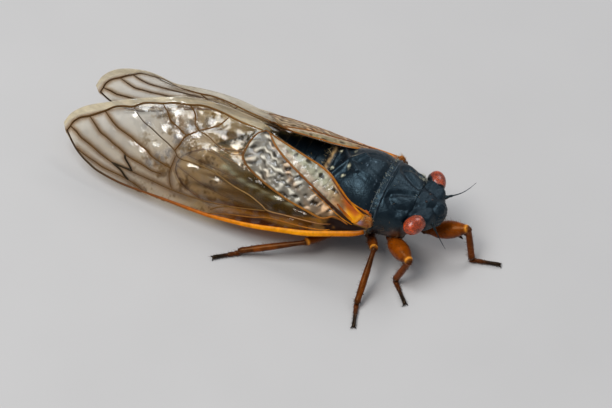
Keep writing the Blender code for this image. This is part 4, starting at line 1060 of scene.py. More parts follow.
# Plates of the body: the solid, the rows of its shape, rings along it and points round it, the
# seed of its uneven colour, its marks and its relief.
PLATES = {
    "head_capsule": ("head", HEAD, 84, 150, 2, head_marks, head_relief),
    "pronotum_plate": ("pronotum", PRONOTUM, 96, 200, 5, pronotum_marks, pronotum_relief),
    "mesonotum_plate": ("mesonotum", MESONOTUM, 110, 190, 7, mesonotum_marks, mesonotum_relief),
    "metanotum_plate": ("metanotum", METANOTUM, 30, 150, 9, metanotum_marks, None),
    "thorax_underside": ("thorax_under", THORAX_UNDER, 60, 120, 10, underside_marks, None),
    "abdomen_rings": ("abdomen", ABDOMEN, 170, 110, 12, abdomen_marks, abdomen_relief),
    "tail_plates_fine": ("tail_plates", TAIL, 50, 80, 13, tail_marks, None),
}


def body_plate(name, key="black"):
    """One plate of the body with its relief, painted dark and then marked."""
    node, rows, rings, sides, seed, marks, relief = PLATES[name]
    verts, faces = loft_points(plate_rings(rows, rings, sides, relief))
    paint = marks(verts, black_paint(verts, seed))
    make_piece(name, verts, faces, key, [node], paint=paint)


class CICADA_OT_head(bpy.types.Operator):
    """Head capsule with its simple eyes, the ribbed face plate and the beak."""

    bl_idname = "cicada.head"
    bl_label = "Head"

    def execute(self, context):
        body_plate("head_capsule", "head")
        verts, faces, paint = join_shapes(
            [bead_shape(at, OCELLUS_RADIUS, sea("#260c08"), OCELLUS_MESH) for at in OCELLI])
        make_piece("ocelli", verts, faces, "eye", paint=paint)
        self.face_plate()
        self.beak()
        return {"FINISHED"}

    def face_plate(self):
        """The swollen plate of the face, ribbed on both sides of a smooth middle."""
        tall = np.linspace(0.02, math.pi - 0.02, CLYPEUS_RINGS)[:, None]
        turn = (np.arange(CLYPEUS_RINGS) * math.tau / CLYPEUS_RINGS)[None, :]
        ball = np.stack(np.broadcast_arrays(np.sin(tall) * np.cos(turn),
                                            np.sin(tall) * np.sin(turn), np.cos(tall)), -1)
        rib = np.cos(2 * CLYPEUS_RIDGES * tall)
        clear = fade(np.abs(ball[..., 1]), 0.14, 0.34) * np.sin(tall) ** 2
        grow = 1 + 0.032 * rib * clear - 0.03 * bell(ball[..., 1], 0.05)
        grow = grow - 0.05 * bell(ball[..., 2] - 0.62, 0.14) + 0.025 * ripple(ball, 0.5, 16)
        # Grooves that part the smooth middle from the ribbed sides, and a worn, uneven skin.
        grow = grow - 0.045 * bell(np.abs(ball[..., 1]) - 0.3, 0.06) * np.sin(tall)
        grow = grow + 0.014 * ripple(ball * np.array(CLYPEUS_SIZE), 1.1, 26)
        ball = ball * grow[..., None] * np.array(CLYPEUS_SIZE)
        lean = np.array(Matrix.Rotation(math.radians(CLYPEUS_TILT), 3, "Y"))
        verts, faces = loft_points(ball @ lean.T + np.array(CLYPEUS_AT))
        make_piece("face_plate", verts, faces, "head", ["clypeus"], paint=black_paint(verts, 3))

    def beak(self):
        """The beak, folded back between the fore legs."""
        verts, faces = loft_points(tube_rings(even_rows(ROSTRUM, ROSTRUM_STEP), ROSTRUM_SIDES))
        paint = blend_colour(np.tile(BROWN_DARK, (len(verts), 1)), SOOT, fade(verts[:, 0], 1.5, -1))
        make_piece("beak", verts, faces, "amber", ["rostrum"], paint=paint)


class CICADA_OT_eyes(bpy.types.Operator):
    """The two red compound eyes, each an egg that bulges from the side of the head."""

    bl_idname = "cicada.eyes"
    bl_label = "Eyes"

    def execute(self, context):
        red = np.array(look().eye_red)
        for side, sign in SIDES.items():
            verts, faces, paint = bead_shape((0, 0, 0), 1.0, red, EYE_MESH)
            x, y, z = verts.T
            outward = y * sign
            grain = ripple(verts * (1, sign, 1), 0.9, 15)
            # Painted highlight: paler on top and on the inner side. Darker at the rim and in clouds.
            paint = blend_colour(paint, sea("#dc6a4c"),
                                 0.4 * fade(z, 0.1, 0.95) * fade(grain, -0.6, 0.5))
            paint = blend_colour(paint, sea("#f09070"),
                                 0.3 * fade(outward, 0.25, -0.3) * fade(z, 0.0, 0.7))
            paint = blend_colour(paint, red * 0.3, 0.6 * fade(np.hypot(x * 0.9, z), 0.62, 0.98))
            # A darker spot that faces outwards, and the black socket behind and within.
            spot = bell(np.hypot(x + 0.15, z - 0.55), 0.2) * fade(outward, 0.0, 0.5)
            paint = blend_colour(paint, red * 0.3, 0.55 * spot)
            paint = blend_colour(paint, red * 0.35, 0.5 * fade(grain, 0.15, 0.8))
            inner = x + 0.28 * outward - EYE_BACK
            socket = np.maximum(fade(inner, 0.07, -0.03), fade(outward, -0.55, -0.65))
            paint = blend_colour(paint, np.array(look().black), socket)
            verts = turned_egg(verts * (1 + 0.05 * socket)[:, None], EYE_SIZE, sign * EYE_TURN,
                               np.array(EYE_AT) * (1, sign, 1))
            make_piece("compound_eye_" + side, verts, faces, "eye", ["eye_" + side],
                       paint=paint)
        return {"FINISHED"}


class CICADA_OT_antennae(bpy.types.Operator):
    """Feelers: two thick joints and a jointed bristle that thins to a hair."""

    bl_idname = "cicada.antennae"
    bl_label = "Feelers"

    def execute(self, context):
        for side, sign in SIDES.items():
            root, way = (np.array(each) * (1, sign, 1) for each in (ANTENNA_ROOT, ANTENNA_WAY[side]))
            sag = np.array(FEELER_SAG[side])
            line = [(*(root + way * share + sag * math.sin(math.pi * share ** 1.4)), radius)
                    for share, radius in FEELER_RADII]
            verts, faces = loft_points(tube_rings(line, FEELER_SIDES))
            make_piece("feeler_" + side, verts, faces, "black", ["antenna_" + side],
                       paint=np.tile(SOOT, (len(verts), 1)))
        return {"FINISHED"}


class CICADA_OT_thorax(bpy.types.Operator):
    """Plates of the thorax: pronotum, mesonotum with its cross, metanotum and underside."""

    bl_idname = "cicada.thorax"
    bl_label = "Thorax"

    def execute(self, context):
        for name in ("pronotum_plate", "mesonotum_plate", "metanotum_plate", "thorax_underside"):
            body_plate(name)
        return {"FINISHED"}


class CICADA_OT_abdomen(bpy.types.Operator):
    """Abdomen in eight overlapping rings, and the plates of the tail."""

    bl_idname = "cicada.abdomen"
    bl_label = "Abdomen"

    def execute(self, context):
        for name in ("abdomen_rings", "tail_plates_fine"):
            body_plate(name)
        return {"FINISHED"}


def limb_rows(start, end, radii):
    """Rows of x, y, z and radius from shares of the way and radii."""
    return [(*(start + (end - start) * share), radius) for share, radius in radii]


def limb_way(start, end):
    """Direction and length of a limb."""
    length = np.linalg.norm(end - start)
    return (end - start) / length, length


def streaks(points, base, dark, waves, seed, strength):
    """Lengthwise streaks of a darker tone on a leg."""
    wave = ripple(points, waves, seed)
    return blend_colour(base, dark, strength * fade(wave, -0.2, 0.7))


class CICADA_OT_legs(bpy.types.Operator):
    """Six legs, each of a coxa, a femur, a tibia and a jointed foot with two claws."""

    bl_idname = "cicada.legs"
    bl_label = "Legs"

    def execute(self, context):
        parts = (self.coxa, self.femur, self.tibia, self.foot)
        for name, joints in LEGS.items():
            places = np.array(joints)
            kind = "fore" if name.startswith("fore") else "rear"
            for part, start, end in zip(parts, places, places[1:]):
                part(name, kind, start, end)
        return {"FINISHED"}

    def skin(self, piece, name, rows, paint, extras=()):
        """One length of a leg with what grows on it, as one piece."""
        sides, step, slot = LIMBS[piece]
        verts, faces = loft_points(tube_rings(even_rows(rows, step), sides))
        verts, faces, colours = join_shapes([(verts, faces, paint(verts)), *extras])
        make_piece(f"{piece}_skin_{name}", verts, faces, "amber", [f"{piece}_{name}"],
                   paint=colours)

    def coxa(self, name, kind, root, hip):
        """The short thick first length, dark with a reddish end."""
        swell = COXA_SWELL[kind]
        radii = [(0.0, swell * 0.85), (0.2, swell), (0.55, swell * 0.95), *COXA_RADII]

        def paint(points):
            far = np.linalg.norm(points - hip, axis=-1)
            base = np.tile(BROWN_DARK, (len(points), 1))
            return blend_colour(base, BROWN_RED, 0.8 * bell(far, 0.6))
        self.skin("coxa", name, limb_rows(root, hip, radii), paint)

    def femur(self, name, kind, hip, knee):
        """The thigh, swollen and spined on a fore leg, with a gold band round the knee that is partly a
        painted highlight.
        """
        along, length = limb_way(hip, knee)
        tone = np.array(look().amber) if kind == "fore" else BROWN * 0.9

        def paint(points):
            run = (points - hip) @ along / length
            colours = np.tile(tone, (len(points), 1))
            colours = streaks(points, colours, tone * 0.35, 0.55, 51, 0.55)
            colours = blend_colour(colours, BROWN_DARK, 0.7 * fade(run, 0.15, 0.0))
            colours = blend_colour(colours, BROWN_DARK, 0.55 * bell(run - 0.88, 0.04))
            # A gold band round the knee, partly a painted highlight that is brightest above, with dark
            # skin on both sides.
            high = fade(points[:, 2] - knee[2], -0.3, 0.3)
            above = points[:, 2] - (hip + along * (run * length)[:, None])[:, 2]
            colours = blend_colour(colours, BROWN_DARK,
                                   0.6 * fade(run * length, length - 0.5, length - 0.2))
            # Painted light: a lighter orange on the upper side of the thigh.
            colours = blend_colour(colours, ORANGE_PAINTED_LIGHT, 0.36 * fade(above, -0.3, 0.8))
            band = bell((run - 1) * length + 0.16, 0.15)
            return blend_colour(colours, KNEE_GOLD_AND_HIGHLIGHT * 1.3, (0.25 + 0.65 * high) * band)
        extras = []
        if kind == "fore":
            down = np.array([0, 0, -1.0]) + along * along[2]
            down /= np.linalg.norm(down)
            for share, out, radius in FORE_SPINES:
                place = hip + (knee - hip) * share
                tip = place + down * (0.35 + out) + along * out * 0.42
                extras.append(spike_shape(place + down * 0.45, tip, radius, BROWN_DARK))
        self.skin("femur", name, limb_rows(hip, knee, FEMUR_RADII[kind]), paint, extras)

    def tibia(self, name, kind, knee, ankle):
        """The shin, with its spurs on both sides near the ankle."""
        along, length = limb_way(knee, ankle)
        fore = kind == "fore"
        tone = np.array(look().amber) * 0.85 if fore else BROWN * 0.7

        def paint(points):
            run = (points - knee) @ along / length
            colours = np.tile(tone, (len(points), 1))
            if not fore:
                colours = blend_colour(colours, LEG_ORANGE, 0.85 * fade(run, 0.2, 0.6))
            colours = streaks(points, colours, tone * 0.4, 0.5, 52, 0.6)
            colours = blend_colour(colours, BROWN_DARK, 0.7 * fade(run * length, 0.25, 0.05))
            return blend_colour(colours, BROWN_DARK, 0.75 * fade(run, 0.8, 1.0))
        side = np.cross(along, (0, 0, 1.0))
        side /= np.linalg.norm(side)
        other = np.cross(along, side)
        extras = []
        for k in range(TIBIA_SPURS[name.split("_")[0]]):
            row = k // 2
            out = side * (1 if k % 2 else -1) + other * 0.35 * (-1) ** row
            out /= np.linalg.norm(out)
            root = knee + (ankle - knee) * (0.92 - 0.16 * row) + out * 0.15
            tip = root + out * 0.36 + along * 0.5
            tip[2] = max(tip[2], 0.1)
            extras.append(spike_shape(root, tip, SPUR_RADIUS, BROWN_DARK))
        self.skin("tibia", name, limb_rows(knee, ankle, TIBIA_RADII[kind]), paint, extras)

    def foot(self, name, kind, ankle, toe):
        """The jointed foot, which lies on the floor and ends in two claws."""
        heel = np.array([ankle[0], ankle[1], HEEL_HEIGHT])
        end = heel + (toe - heel) * FOOT_END
        rows = [(x, y, max(z, radius * 0.98), radius)
                for x, y, z, radius in limb_rows(heel, end, FOOT_RADII)]
        along, length = limb_way(heel, toe)
        side = np.cross(along, (0, 0, 1.0))
        side /= np.linalg.norm(side)

        def paint(points):
            run = (points - heel) @ along / length
            colours = np.tile(BROWN * 0.8, (len(points), 1))
            return blend_colour(colours, SOOT, 0.95 * fade(run, 0.15, 0.65))
        extras = []
        for sign in SIDES.values():
            root = end - along * 0.12 + side * sign * 0.12
            tip = end + along * 0.16 + side * sign * 0.36
            root[2], tip[2] = 0.2, 0.06
            extras.append(spike_shape(root, tip, CLAW_RADIUS, SOOT,
                                      bend=along * 0.14 + np.array([0, 0, 0.12])))
        self.skin("tarsus", name, rows, paint, extras)


def wing_points(side, run, height, lift):
    """Where points of a flat wing lie on the folded wing."""
    run, height, lift = np.broadcast_arrays(*(np.asarray(v, dtype=float)
                                              for v in (run, height, lift)))
    root, tip = np.array(FORE_ROOT), np.array(FORE_TIP[side])
    share = run / WING_LENGTH
    along = (tip - root) / np.linalg.norm(tip - root)
    turn = np.clip(share, 0, None) ** ROOF_TURN
    late = np.clip((share - TWIST_START) / (1 - TWIST_START), 0, None) ** TWIST_POWER
    roof = ROOF_AT_ROOT + (ROOF_AT_TIP[side] - ROOF_AT_ROOT) * turn + TWIST[side] * late
    roof = np.radians(roof)
    up = np.stack([0 * roof, np.cos(roof), np.sin(roof)], axis=-1)
    up = up - (up @ along)[..., None] * along
    up /= np.linalg.norm(up, axis=-1, keepdims=True)
    out = np.cross(up, along)
    arch = 1 - ((height - CAMBER_MID) / CAMBER_REACH) ** 2
    bow = CAMBER * arch * np.minimum(1.0, CAMBER_AT_ROOT + 2 * share) * (1 - share ** 3)
    place = root + share[..., None] * (tip - root) + late[..., None] * np.array(TWIST_SWAY[side])
    place = place + up * height[..., None] + out * (bow + lift)[..., None]
    over = place[..., 1] + MIDLINE_CLEARANCE + MIDLINE_BEND
    past = over > 0
    bent = -MIDLINE_CLEARANCE - MIDLINE_BEND * np.exp(-np.clip(over, 0, None) / MIDLINE_BEND)
    place[..., 1] = np.where(past, bent, place[..., 1])
    place[..., 2] += np.where(past, over / 2, 0)
    start, end = MID_RISE_SPAN
    middle = np.clip((share - start) / (end - start), 0, 1)
    place[..., 2] += MID_RISE[side] * np.sin(math.pi * middle)
    if side == "left":
        place[..., 1] *= -1
    return place


def margin(points, runs):
    """Height of a wing's margin at each run."""
    fine = smooth_rows(points, np.linspace(0, 1, len(points) * 20))
    return np.interp(runs, fine[:, 0], fine[:, 1])


def wing_grid(front, back, columns, rows):
    """Run and height of points spread over a wing, closer together at its tip."""
    first, last = front[0][0], front[-1][0]
    turn_at = last - TIP_SPAN
    main = np.linspace(first, turn_at, columns)
    tip = turn_at + TIP_SPAN * np.sin(np.linspace(0, math.pi / 2, columns // 5))[1:]
    runs = np.concatenate([main, tip])
    low, high = margin(front, runs), margin(back, runs)
    share = np.linspace(0, 1, rows)
    heights = low[:, None] + (high - low)[:, None] * share
    return np.broadcast_to(runs[:, None], heights.shape).copy(), heights


def tones(table, places):
    """Colours read from a table of places and hex colours."""
    stops = [place for place, _ in table]
    colours = np.array([sea(code) for _, code in table])
    return np.stack([np.interp(places, stops, column) for column in colours.T], axis=-1)


def vein_shapes(side, veins, drop):
    """The veins as flattened tubes that stand on the film."""
    shapes = []
    turn = np.arange(VEIN_SIDES) * math.tau / VEIN_SIDES
    for kind, half, line in veins:
        flat = even_rows([(a, b, 0.0) for a, b in line], VEIN_STEP)[:, :2]
        share = np.linspace(0, 1, len(flat))
        taper = 0.65 + 0.35 * np.minimum(1, np.minimum(share, 1 - share) * 8)
        width = half * taper * (TIP_VEIN_WIDEN if kind == "apical" else VEIN_SLIM)
        if kind == "costa":
            width = half * np.interp(flat[:, 0], *COSTA_SWELL)
        middle = wing_points(side, flat[:, 0], flat[:, 1], VEIN_LIFT - drop)
        normal = wing_points(side, flat[:, 0], flat[:, 1], VEIN_LIFT - drop + 0.2) - middle
        normal /= np.linalg.norm(normal, axis=1, keepdims=True)
        way = np.gradient(middle, axis=0)
        way /= np.linalg.norm(way, axis=1, keepdims=True)
        across = np.cross(normal, way)
        tall = np.clip(width * VEIN_TALL, VEIN_LEAST, VEIN_MOST)
        wide_part = across[:, None] * (np.cos(turn)[None, :] * width[:, None])[..., None]
        tall_part = normal[:, None] * (np.sin(turn)[None, :] * tall[:, None])[..., None]
        verts, faces = loft_points(middle[:, None] + wide_part + tall_part)
        runs = np.concatenate([np.repeat(flat[:, 0], VEIN_SIDES), flat[[0, -1], 0]])
        shapes.append((verts, faces, tones(VEIN_TONES[kind], runs)))
    return shapes


def lay(film, mask, code, depth, cover=0.0):
    """Lays a colour over a film where the mask is, and thickens the film there."""
    colour, hides = film
    return blend_colour(colour, sea(code), depth * mask), hides + cover * mask


def put_in(film, mask, colour, hides):
    """Puts another skin in the film's place where the mask is."""
    return blend_colour(film[0], colour, mask), film[1] + (hides - film[1]) * mask


def fore_paint(side, runs, heights):
    """Tint and cover of the fore wing's film, cell by cell.

    Where the cover is low the tint is what the film lets through.
    """
    flat = np.stack([runs, heights], -1)
    outer = margin(HIND_MARGIN, runs) - heights
    front = heights - margin(COSTA, runs)
    film = (tones(FILM_TONES, runs), look().film_cover * (1 + 0.5 * ripple(flat, 0.13, 61)))
    film = lay(film, fade(heights, 4.2, 6.0) * fade(runs, 26, 23), "#e6d6b8", 0.7)
    # Pale and brown streaks that run lengthwise through the brown middle.
    streak = ripple(flat * (0.12, 1.0), 0.55, 62) * fade(runs, 27, 20)
    film = lay(film, fade(streak, 0.1, 0.8), "#f4ead2", 0.6)
    film = lay(film, fade(-streak, 0.1, 0.8), "#7c5e2a", 0.5)
    olive = bell(reach(flat, OLIVE_LINE) * (1 + 0.4 * ripple(flat, 0.5, 65)), 0.3)
    olive = olive * fade(ripple(flat * (0.5, 1.6), 0.8, 64), -1.0, 0.4)
    film = lay(film, olive, "#d0ceb0", 0.7, 0.2)
    # Brown blotches among the glints.
    blotch = ripple(flat * (0.7, 1.0), 0.4, 66) + 0.6 * ripple(flat, 1.0, 78)
    blotch = fade(blotch + 0.4 * ripple(flat, 1.9, 79), 0.15, 0.9)
    film = lay(film, blotch * fade(runs, 17, 20) * fade(runs, 31, 28), "#b49a66", 0.7)
    film = lay(film, smoke(flat), "#b08a50", 0.9, 0.1)
    stain = np.maximum.reduce([depth * bell(np.hypot(runs - u, heights - v), size)
                               for u, v, size, depth in STAINS])
    stain = stain * fade(ripple(flat, 0.9, 85) + 0.5 * ripple(flat, 1.8, 86), -0.9, 0.3)
    film = lay(film, stain, "#5c3a1e", 0.9, 0.55)
    # The tan border outside the last vein, and the amber cell behind the front margin.
    wide = 1.0 + 0.5 * bell(runs - 18.5, 4.0)
    border = fade(outer, wide + 0.18, wide - 0.18) * fade(runs, 15.2, 16.4)
    film = lay(film, border, "#f2e6cc", 0.9, 0.3)
    band = fade(front, 2.4, 2.0) * fade(runs, 21, 16) * fade(runs, 1.5, 4)
    colour, clear = lay(film, band, FRONT_CELL[side], 0.85)
    film = colour, clear + 0.3 * band * fade(ripple(flat * (0.15, 1.0), 0.9, 63), -0.5, 0.6)
    # The closed cells, with painted shade in their folds and painted highlights on their crests.
    inside = closed_cell(flat)
    crumple = crumples(flat)
    film = put_in(film, inside, cell_skin(side, flat, crumple), 0.62 + 0.3 * fade(crumple, -0.5, 0.4))
    # The orange root and the orange hem of the inner margin.
    patch = fade(runs - 0.5 * heights, 3.4, 2.2) * fade(heights, 0.15, 0.3)
    root = np.maximum(patch, bell(outer - 0.2, 0.28) * fade(runs, 9, 5))
    film = put_in(film, root, root_skin(flat), 1.0)
    # The black line inside the hem, the dark fold of the suture, the dark root triangle and
    # the dark node at the end of the suture.
    line = bell(outer - 0.42, 0.09) * fade(runs, 6.5, 5.5)
    fold = bell(heights - suture_height(runs) + 0.2, 0.17) * fade(runs, 8.6, 7)
    fold = fold * fade(runs, 1.9, 2.3)
    ragged = 0.9 * ripple(flat * (0.4, 1.0), 0.8, 87) + 0.5 * ripple(flat, 1.3, 88)
    triangle = fade(runs + ragged, 7.2, 4.4) * fade(heights, 0.25, 0.05) * fade(front, 0.4, 0.7)
    node = bell(np.hypot(runs - 15.6, heights - 7.4), 0.3)
    dark = np.clip(np.maximum.reduce([line, fold, triangle, node]), 0, 1)
    colour, clear = put_in(film, dark, sea("#1e0e08"), 1.0)
    paler = 1 + (FILM_PALER[side] - 1) * (1 - inside) * (1 - root) * (
        0.3 + 0.7 * fade(runs, 31, 24))
    colour = np.clip(colour, 0, 1) ** paler[..., None]
    return np.concatenate([colour, np.clip(clear, 0, 1)[..., None]], -1)


def smoke(flat):
    """Smoky edges along the veins of the tip, and smoky clouds behind the brown network."""
    runs, heights = flat[..., 0], flat[..., 1]
    near = np.minimum.reduce([reach(flat, line) for kind, _, line in FORE_VEINS
                              if kind in ("apical", "dark", "thin")])
    edges = bell(near, 0.42) * fade(runs, 20, 25)
    cloud = sum(bell(np.hypot((runs - u) * along, (heights - v) * across), size) * depth
                for u, v, along, across, size, depth in SMOKE_CLOUDS)
    cloud = cloud * fade(ripple(flat, 0.5, 75) + 0.5 * ripple(flat, 1.1, 76), -0.5, 0.6)
    return np.clip(np.maximum(edges * 0.8, cloud), 0, 1)


def cell_skin(side, flat, crumple):
    """Colour of the two crumpled cells beside the suture, with painted shade in the folds and painted
    highlights on the crests of the outer cell.
    """
    runs, heights = flat[..., 0], flat[..., 1]
    shape = (*flat.shape[:-1], 3)
    beside = heights - suture_height(runs)
    fold, crest = (sea(code) for code in FOLD_SHADE_AND_CREST_HIGHLIGHT[side])
    # The outer cell: painted shade where the wrinkles are low and painted highlight where they are
    # high.
    painted_fold_light = blend_colour(np.broadcast_to(fold * 0.6, shape), fold + (crest - fold) * 0.27,
                          fade(crumple, -1.0, -0.3))
    painted_fold_light = blend_colour(painted_fold_light, crest, fade(crumple, 0.15, 0.75))
    rosy = np.maximum(fade(runs, 9.5, 5.5), 0.7 * fade(ripple(flat, 0.35, 67), 0.1, 0.7))
    painted_fold_light = blend_colour(painted_fold_light, painted_fold_light * (1.0, 0.68, 0.46), rosy)
    # The inner cell is smoother: a pale strip beside the suture, then grey-green with specks.
    specks = fade(ripple(flat, 1.1, 68), 0.08, 0.4) * fade(ripple(flat, 0.3, 69), -0.6, 0.1)
    plain = blend_colour(np.broadcast_to(crest * (0.5, 0.52, 0.44), shape), fold * 0.5,
                         0.95 * specks)
    plain = blend_colour(plain, crest, 0.6 * fade(ripple(flat, 0.9, 77), 0.3, 0.7))
    strip = bell(beside - 0.55, 0.4) * fade(ripple(flat, 0.5, 70), -1.2, 0.0)
    plain = blend_colour(plain, sea("#d6bca2"), 0.85 * strip)
    plain = blend_colour(plain, plain * (1.0, 0.66, 0.42), fade(runs, 7.0, 4.5))
    return blend_colour(painted_fold_light, plain, behind_suture(flat))


def root_skin(flat):
    """Colour of the orange root, with its glow, brown end, a painted bluish glint and black line."""
    runs, heights = flat[..., 0], flat[..., 1]
    skin = blend_colour(np.broadcast_to(sea("#b4541c"), (*flat.shape[:-1], 3)), sea("#f0a008"),
                        bell(reach(flat, ROOT_GLOW), 0.42))
    skin = blend_colour(skin, sea("#6a4024"),
                        0.85 * fade(runs, 1.25, 0.9) * fade(heights, 1.7, 1.4))
    # A painted bluish glint.
    skin = blend_colour(skin, sea("#5a6c88"),
                        0.8 * bell(np.hypot(runs - 1.3, (heights - 0.6) * 0.8), 0.3))
    return blend_colour(skin, sea("#160a08"), 0.95 * bell(reach(flat, ROOT_LINE), 0.1))


def suture_height(runs):
    """Height of the suture at each run."""
    line = np.array(SUTURE_LINE)
    return np.interp(runs, line[:, 0], line[:, 1])


def behind_suture(flat):
    """1 behind the suture, in the inner of the two closed cells."""
    return fade(flat[..., 1] - suture_height(flat[..., 0]), -0.05, 0.1)


def closed_cell(flat):
    """1 inside the two cells between the looped vein and the hind margin."""
    runs, heights = flat[..., 0], flat[..., 1]
    line = np.array(LOOP_LINE[LOOP_SPAN])
    low = np.interp(runs, line[:, 0], line[:, 1])
    high = np.minimum(margin(HIND_MARGIN, runs), np.interp(runs, *CELL_TOP))
    end = np.interp(heights, *CELL_END)
    inside = fade(runs, 3.6, 4.8) * fade(end - runs, 0.0, 0.2) * fade(heights - low, 0.0, 0.25)
    return inside * fade(high - heights, 0.15, 0.35)


def crumples(flat):
    """Height of the wrinkles in the closed cells, from about -1 to 1."""
    runs, heights = flat[..., 0], flat[..., 1]
    lean = np.radians(np.interp(runs, *FOLD_LEAN))
    turned = runs * np.sin(lean) + heights * np.cos(lean)
    beside = runs * np.cos(lean) - heights * np.sin(lean)
    warp = 0.3 * ripple(flat, 0.24, 71) + 0.24 * ripple(flat, 0.7, 72)
    wave = np.sin((turned / FOLD_SPACING + warp) * math.tau)
    broken = fade(ripple(np.stack([beside, turned * 1.4], -1), 0.55, 73), -0.35, 0.35)
    return wave * (0.05 + 0.95 * broken) + 0.6 * ripple(flat, 0.95, 74)


def fore_lift(side, runs, heights):
    """How far the film stands off the smooth wing: cells bulge and crumple."""
    flat = np.stack([runs, heights], -1)
    near = np.minimum.reduce([reach(flat, line) for _, _, line in FORE_VEINS])
    swell = 0.1 * ripple(flat * (0.6, 1.0), 0.17, 81) + 0.1 * ripple(flat * (0.6, 1.0), 0.42, 82)
    swell += 0.026 * ripple(flat * (0.8, 1.0), 0.8, 83) * fade(runs, 33, 28)
    swell = swell * fade(near, 0.05, 0.7) * (0.45 + 0.55 * fade(runs, 33, 29))
    inside = closed_cell(flat)
    folds = FOLD_DEPTH[side] * crumples(flat) * (1 - 0.7 * behind_suture(flat)) + 0.03
    folds = folds * inside * fade(near, 0, 0.3)
    return 0.05 * fade(near, 0.0, 0.9) + swell * (1 - inside) + folds


def rim_walk(columns, rows):
    """The border points of a grid, in order round it."""
    last = (columns - 1) * rows
    front = [k * rows for k in range(columns)]
    tip = [last + k for k in range(1, rows)]
    back = [k * rows + rows - 1 for k in range(columns - 2, -1, -1)]
    return front + tip + back + list(range(rows - 2, 0, -1))


def dress_wing(wing, side, runs, heights, lift, paint):
    """A wing as two pieces: a thin closed film and the veins that stand on it."""
    veins, thick, drop = WINGS[wing]
    top, under = (wing_points(side, runs, heights, lift + half - drop)
                  for half in (thick / 2, -thick / 2))
    verts = np.vstack([top.reshape(-1, 3), under.reshape(-1, 3)])
    count = runs.size
    skin = ring_faces(*runs.shape, round_about=False)
    faces = skin + [tuple(k + count for k in reversed(face)) for face in skin]
    edge = rim_walk(*runs.shape)
    faces += [(a, b, b + count, a + count) for a, b in zip(edge, edge[1:] + edge[:1])]
    film = make_piece(f"{wing}_film_{side}", verts, faces, "film", [f"{wing}_{side}"],
                      paint=np.vstack([paint.reshape(-1, 4)] * 2))
    flat = np.stack([runs.ravel(), heights.ravel()], -1) / MAP_SPAN + np.array(MAP_ROOT)
    lay_map(film, "wing_flat", np.vstack([flat, flat]))
    verts, faces, colours = join_shapes(vein_shapes(side, veins, drop))
    make_piece(f"{wing}_veins_{side}", verts, faces, "vein", paint=colours)


class CICADA_OT_forewings(bpy.types.Operator):
    """Fore wings: a clear, tinted and crumpled film with orange and brown veins."""

    bl_idname = "cicada.forewings"
    bl_label = "Fore wings"

    def execute(self, context):
        runs, heights = wing_grid(COSTA, HIND_MARGIN, *FORE_GRID)
        for side in SIDES:
            dress_wing("forewing", side, runs, heights, fore_lift(side, runs, heights),
                       fore_paint(side, runs, heights))
        return {"FINISHED"}


class CICADA_OT_wing_roots(bpy.types.Operator):
    """The scale over the root of each fore wing, and the small plates behind it."""

    bl_idname = "cicada.wing_roots"
    bl_label = "Wing roots"

    def execute(self, context):
        for side, sign in SIDES.items():
            shapes = []
            for at, size, turn, tone in ROOT_PLATES:
                verts, faces, paint = bead_shape((0, 0, 0), 1.0, sea(tone), ROOT_PLATE_MESH)
                lump = 1 + 0.08 * ripple(verts * (1, sign, 1), 0.6, 17)
                edge = fade(np.abs(verts[:, 0]), 0.55, 0.95)
                paint = blend_colour(paint, BROWN_DARK, 0.7 * edge)
                verts = turned_egg(verts * lump[:, None], size, turn * sign,
                                   np.array(at) * (1, sign, 1))
                shapes.append((verts, faces, paint))
            verts, faces, paint = join_shapes(shapes)
            make_piece("wing_root_" + side, verts, faces, "amber", paint=paint)
        return {"FINISHED"}


class CICADA_OT_hindwings(bpy.types.Operator):
    """Hind wings, shorter and clearer, folded under the fore wings."""

    bl_idname = "cicada.hindwings"
    bl_label = "Hind wings"

    def execute(self, context):
        runs, heights = wing_grid(HIND_EDGE_FRONT, HIND_EDGE_BACK, *HIND_GRID)
        flat = np.stack([runs, heights], -1)
        near = np.minimum.reduce([reach(flat, line) for _, _, line in HIND_VEINS])
        lift = 0.08 * ripple(flat, 0.2, 91) * fade(near, 0.1, 0.8)
        film = (np.broadcast_to(np.array(look().film), (*flat.shape[:-1], 3)), look().film_cover)
        film = lay(film, fade(runs, 7.5, 3.5), "#c8741c", 0.8, 0.35)
        colour, clear = lay(film, bell(near, 0.25), "#a8854e", 0.5, 0.1)
        paint = np.concatenate([colour, np.clip(clear, 0, 1)[..., None]], -1)
        for side in SIDES:
            dress_wing("hindwing", side, runs, heights, lift, paint)
        return {"FINISHED"}


def skin_samples(piece, count, seed, keep):
    """Places and normals spread evenly over a piece's skin.

    keep gives, for places in millimetres, the chance that a hair stands there.
    """
    mesh = piece.data
    mesh.calc_loop_triangles()
    corners = np.zeros(len(mesh.loop_triangles) * 3, dtype=np.int64)
    mesh.loop_triangles.foreach_get("vertices", corners)
    places = np.zeros(len(mesh.vertices) * 3)
    mesh.vertices.foreach_get("co", places)
    places = (places.reshape(-1, 3) - ZERO) / MM
    normals = np.zeros(len(mesh.vertices) * 3)
    mesh.vertices.foreach_get("normal", normals)
    normals = normals.reshape(-1, 3)
    corners = corners.reshape(-1, 3)
    a, b, c = (places[corners[:, k]] for k in range(3))
    area = np.linalg.norm(np.cross(b - a, c - a), axis=1)
    area = area * keep((a + b + c) / 3)
    draw = np.random.default_rng(seed)
    picked = draw.choice(len(area), size=count, p=area / area.sum())
    weights = draw.dirichlet((1, 1, 1), size=count)
    at = np.einsum("nk,nkj->nj", weights, places[corners[picked]])
    out = np.einsum("nk,nkj->nj", weights, normals[corners[picked]])
    return at, out / np.linalg.norm(out, axis=1, keepdims=True)


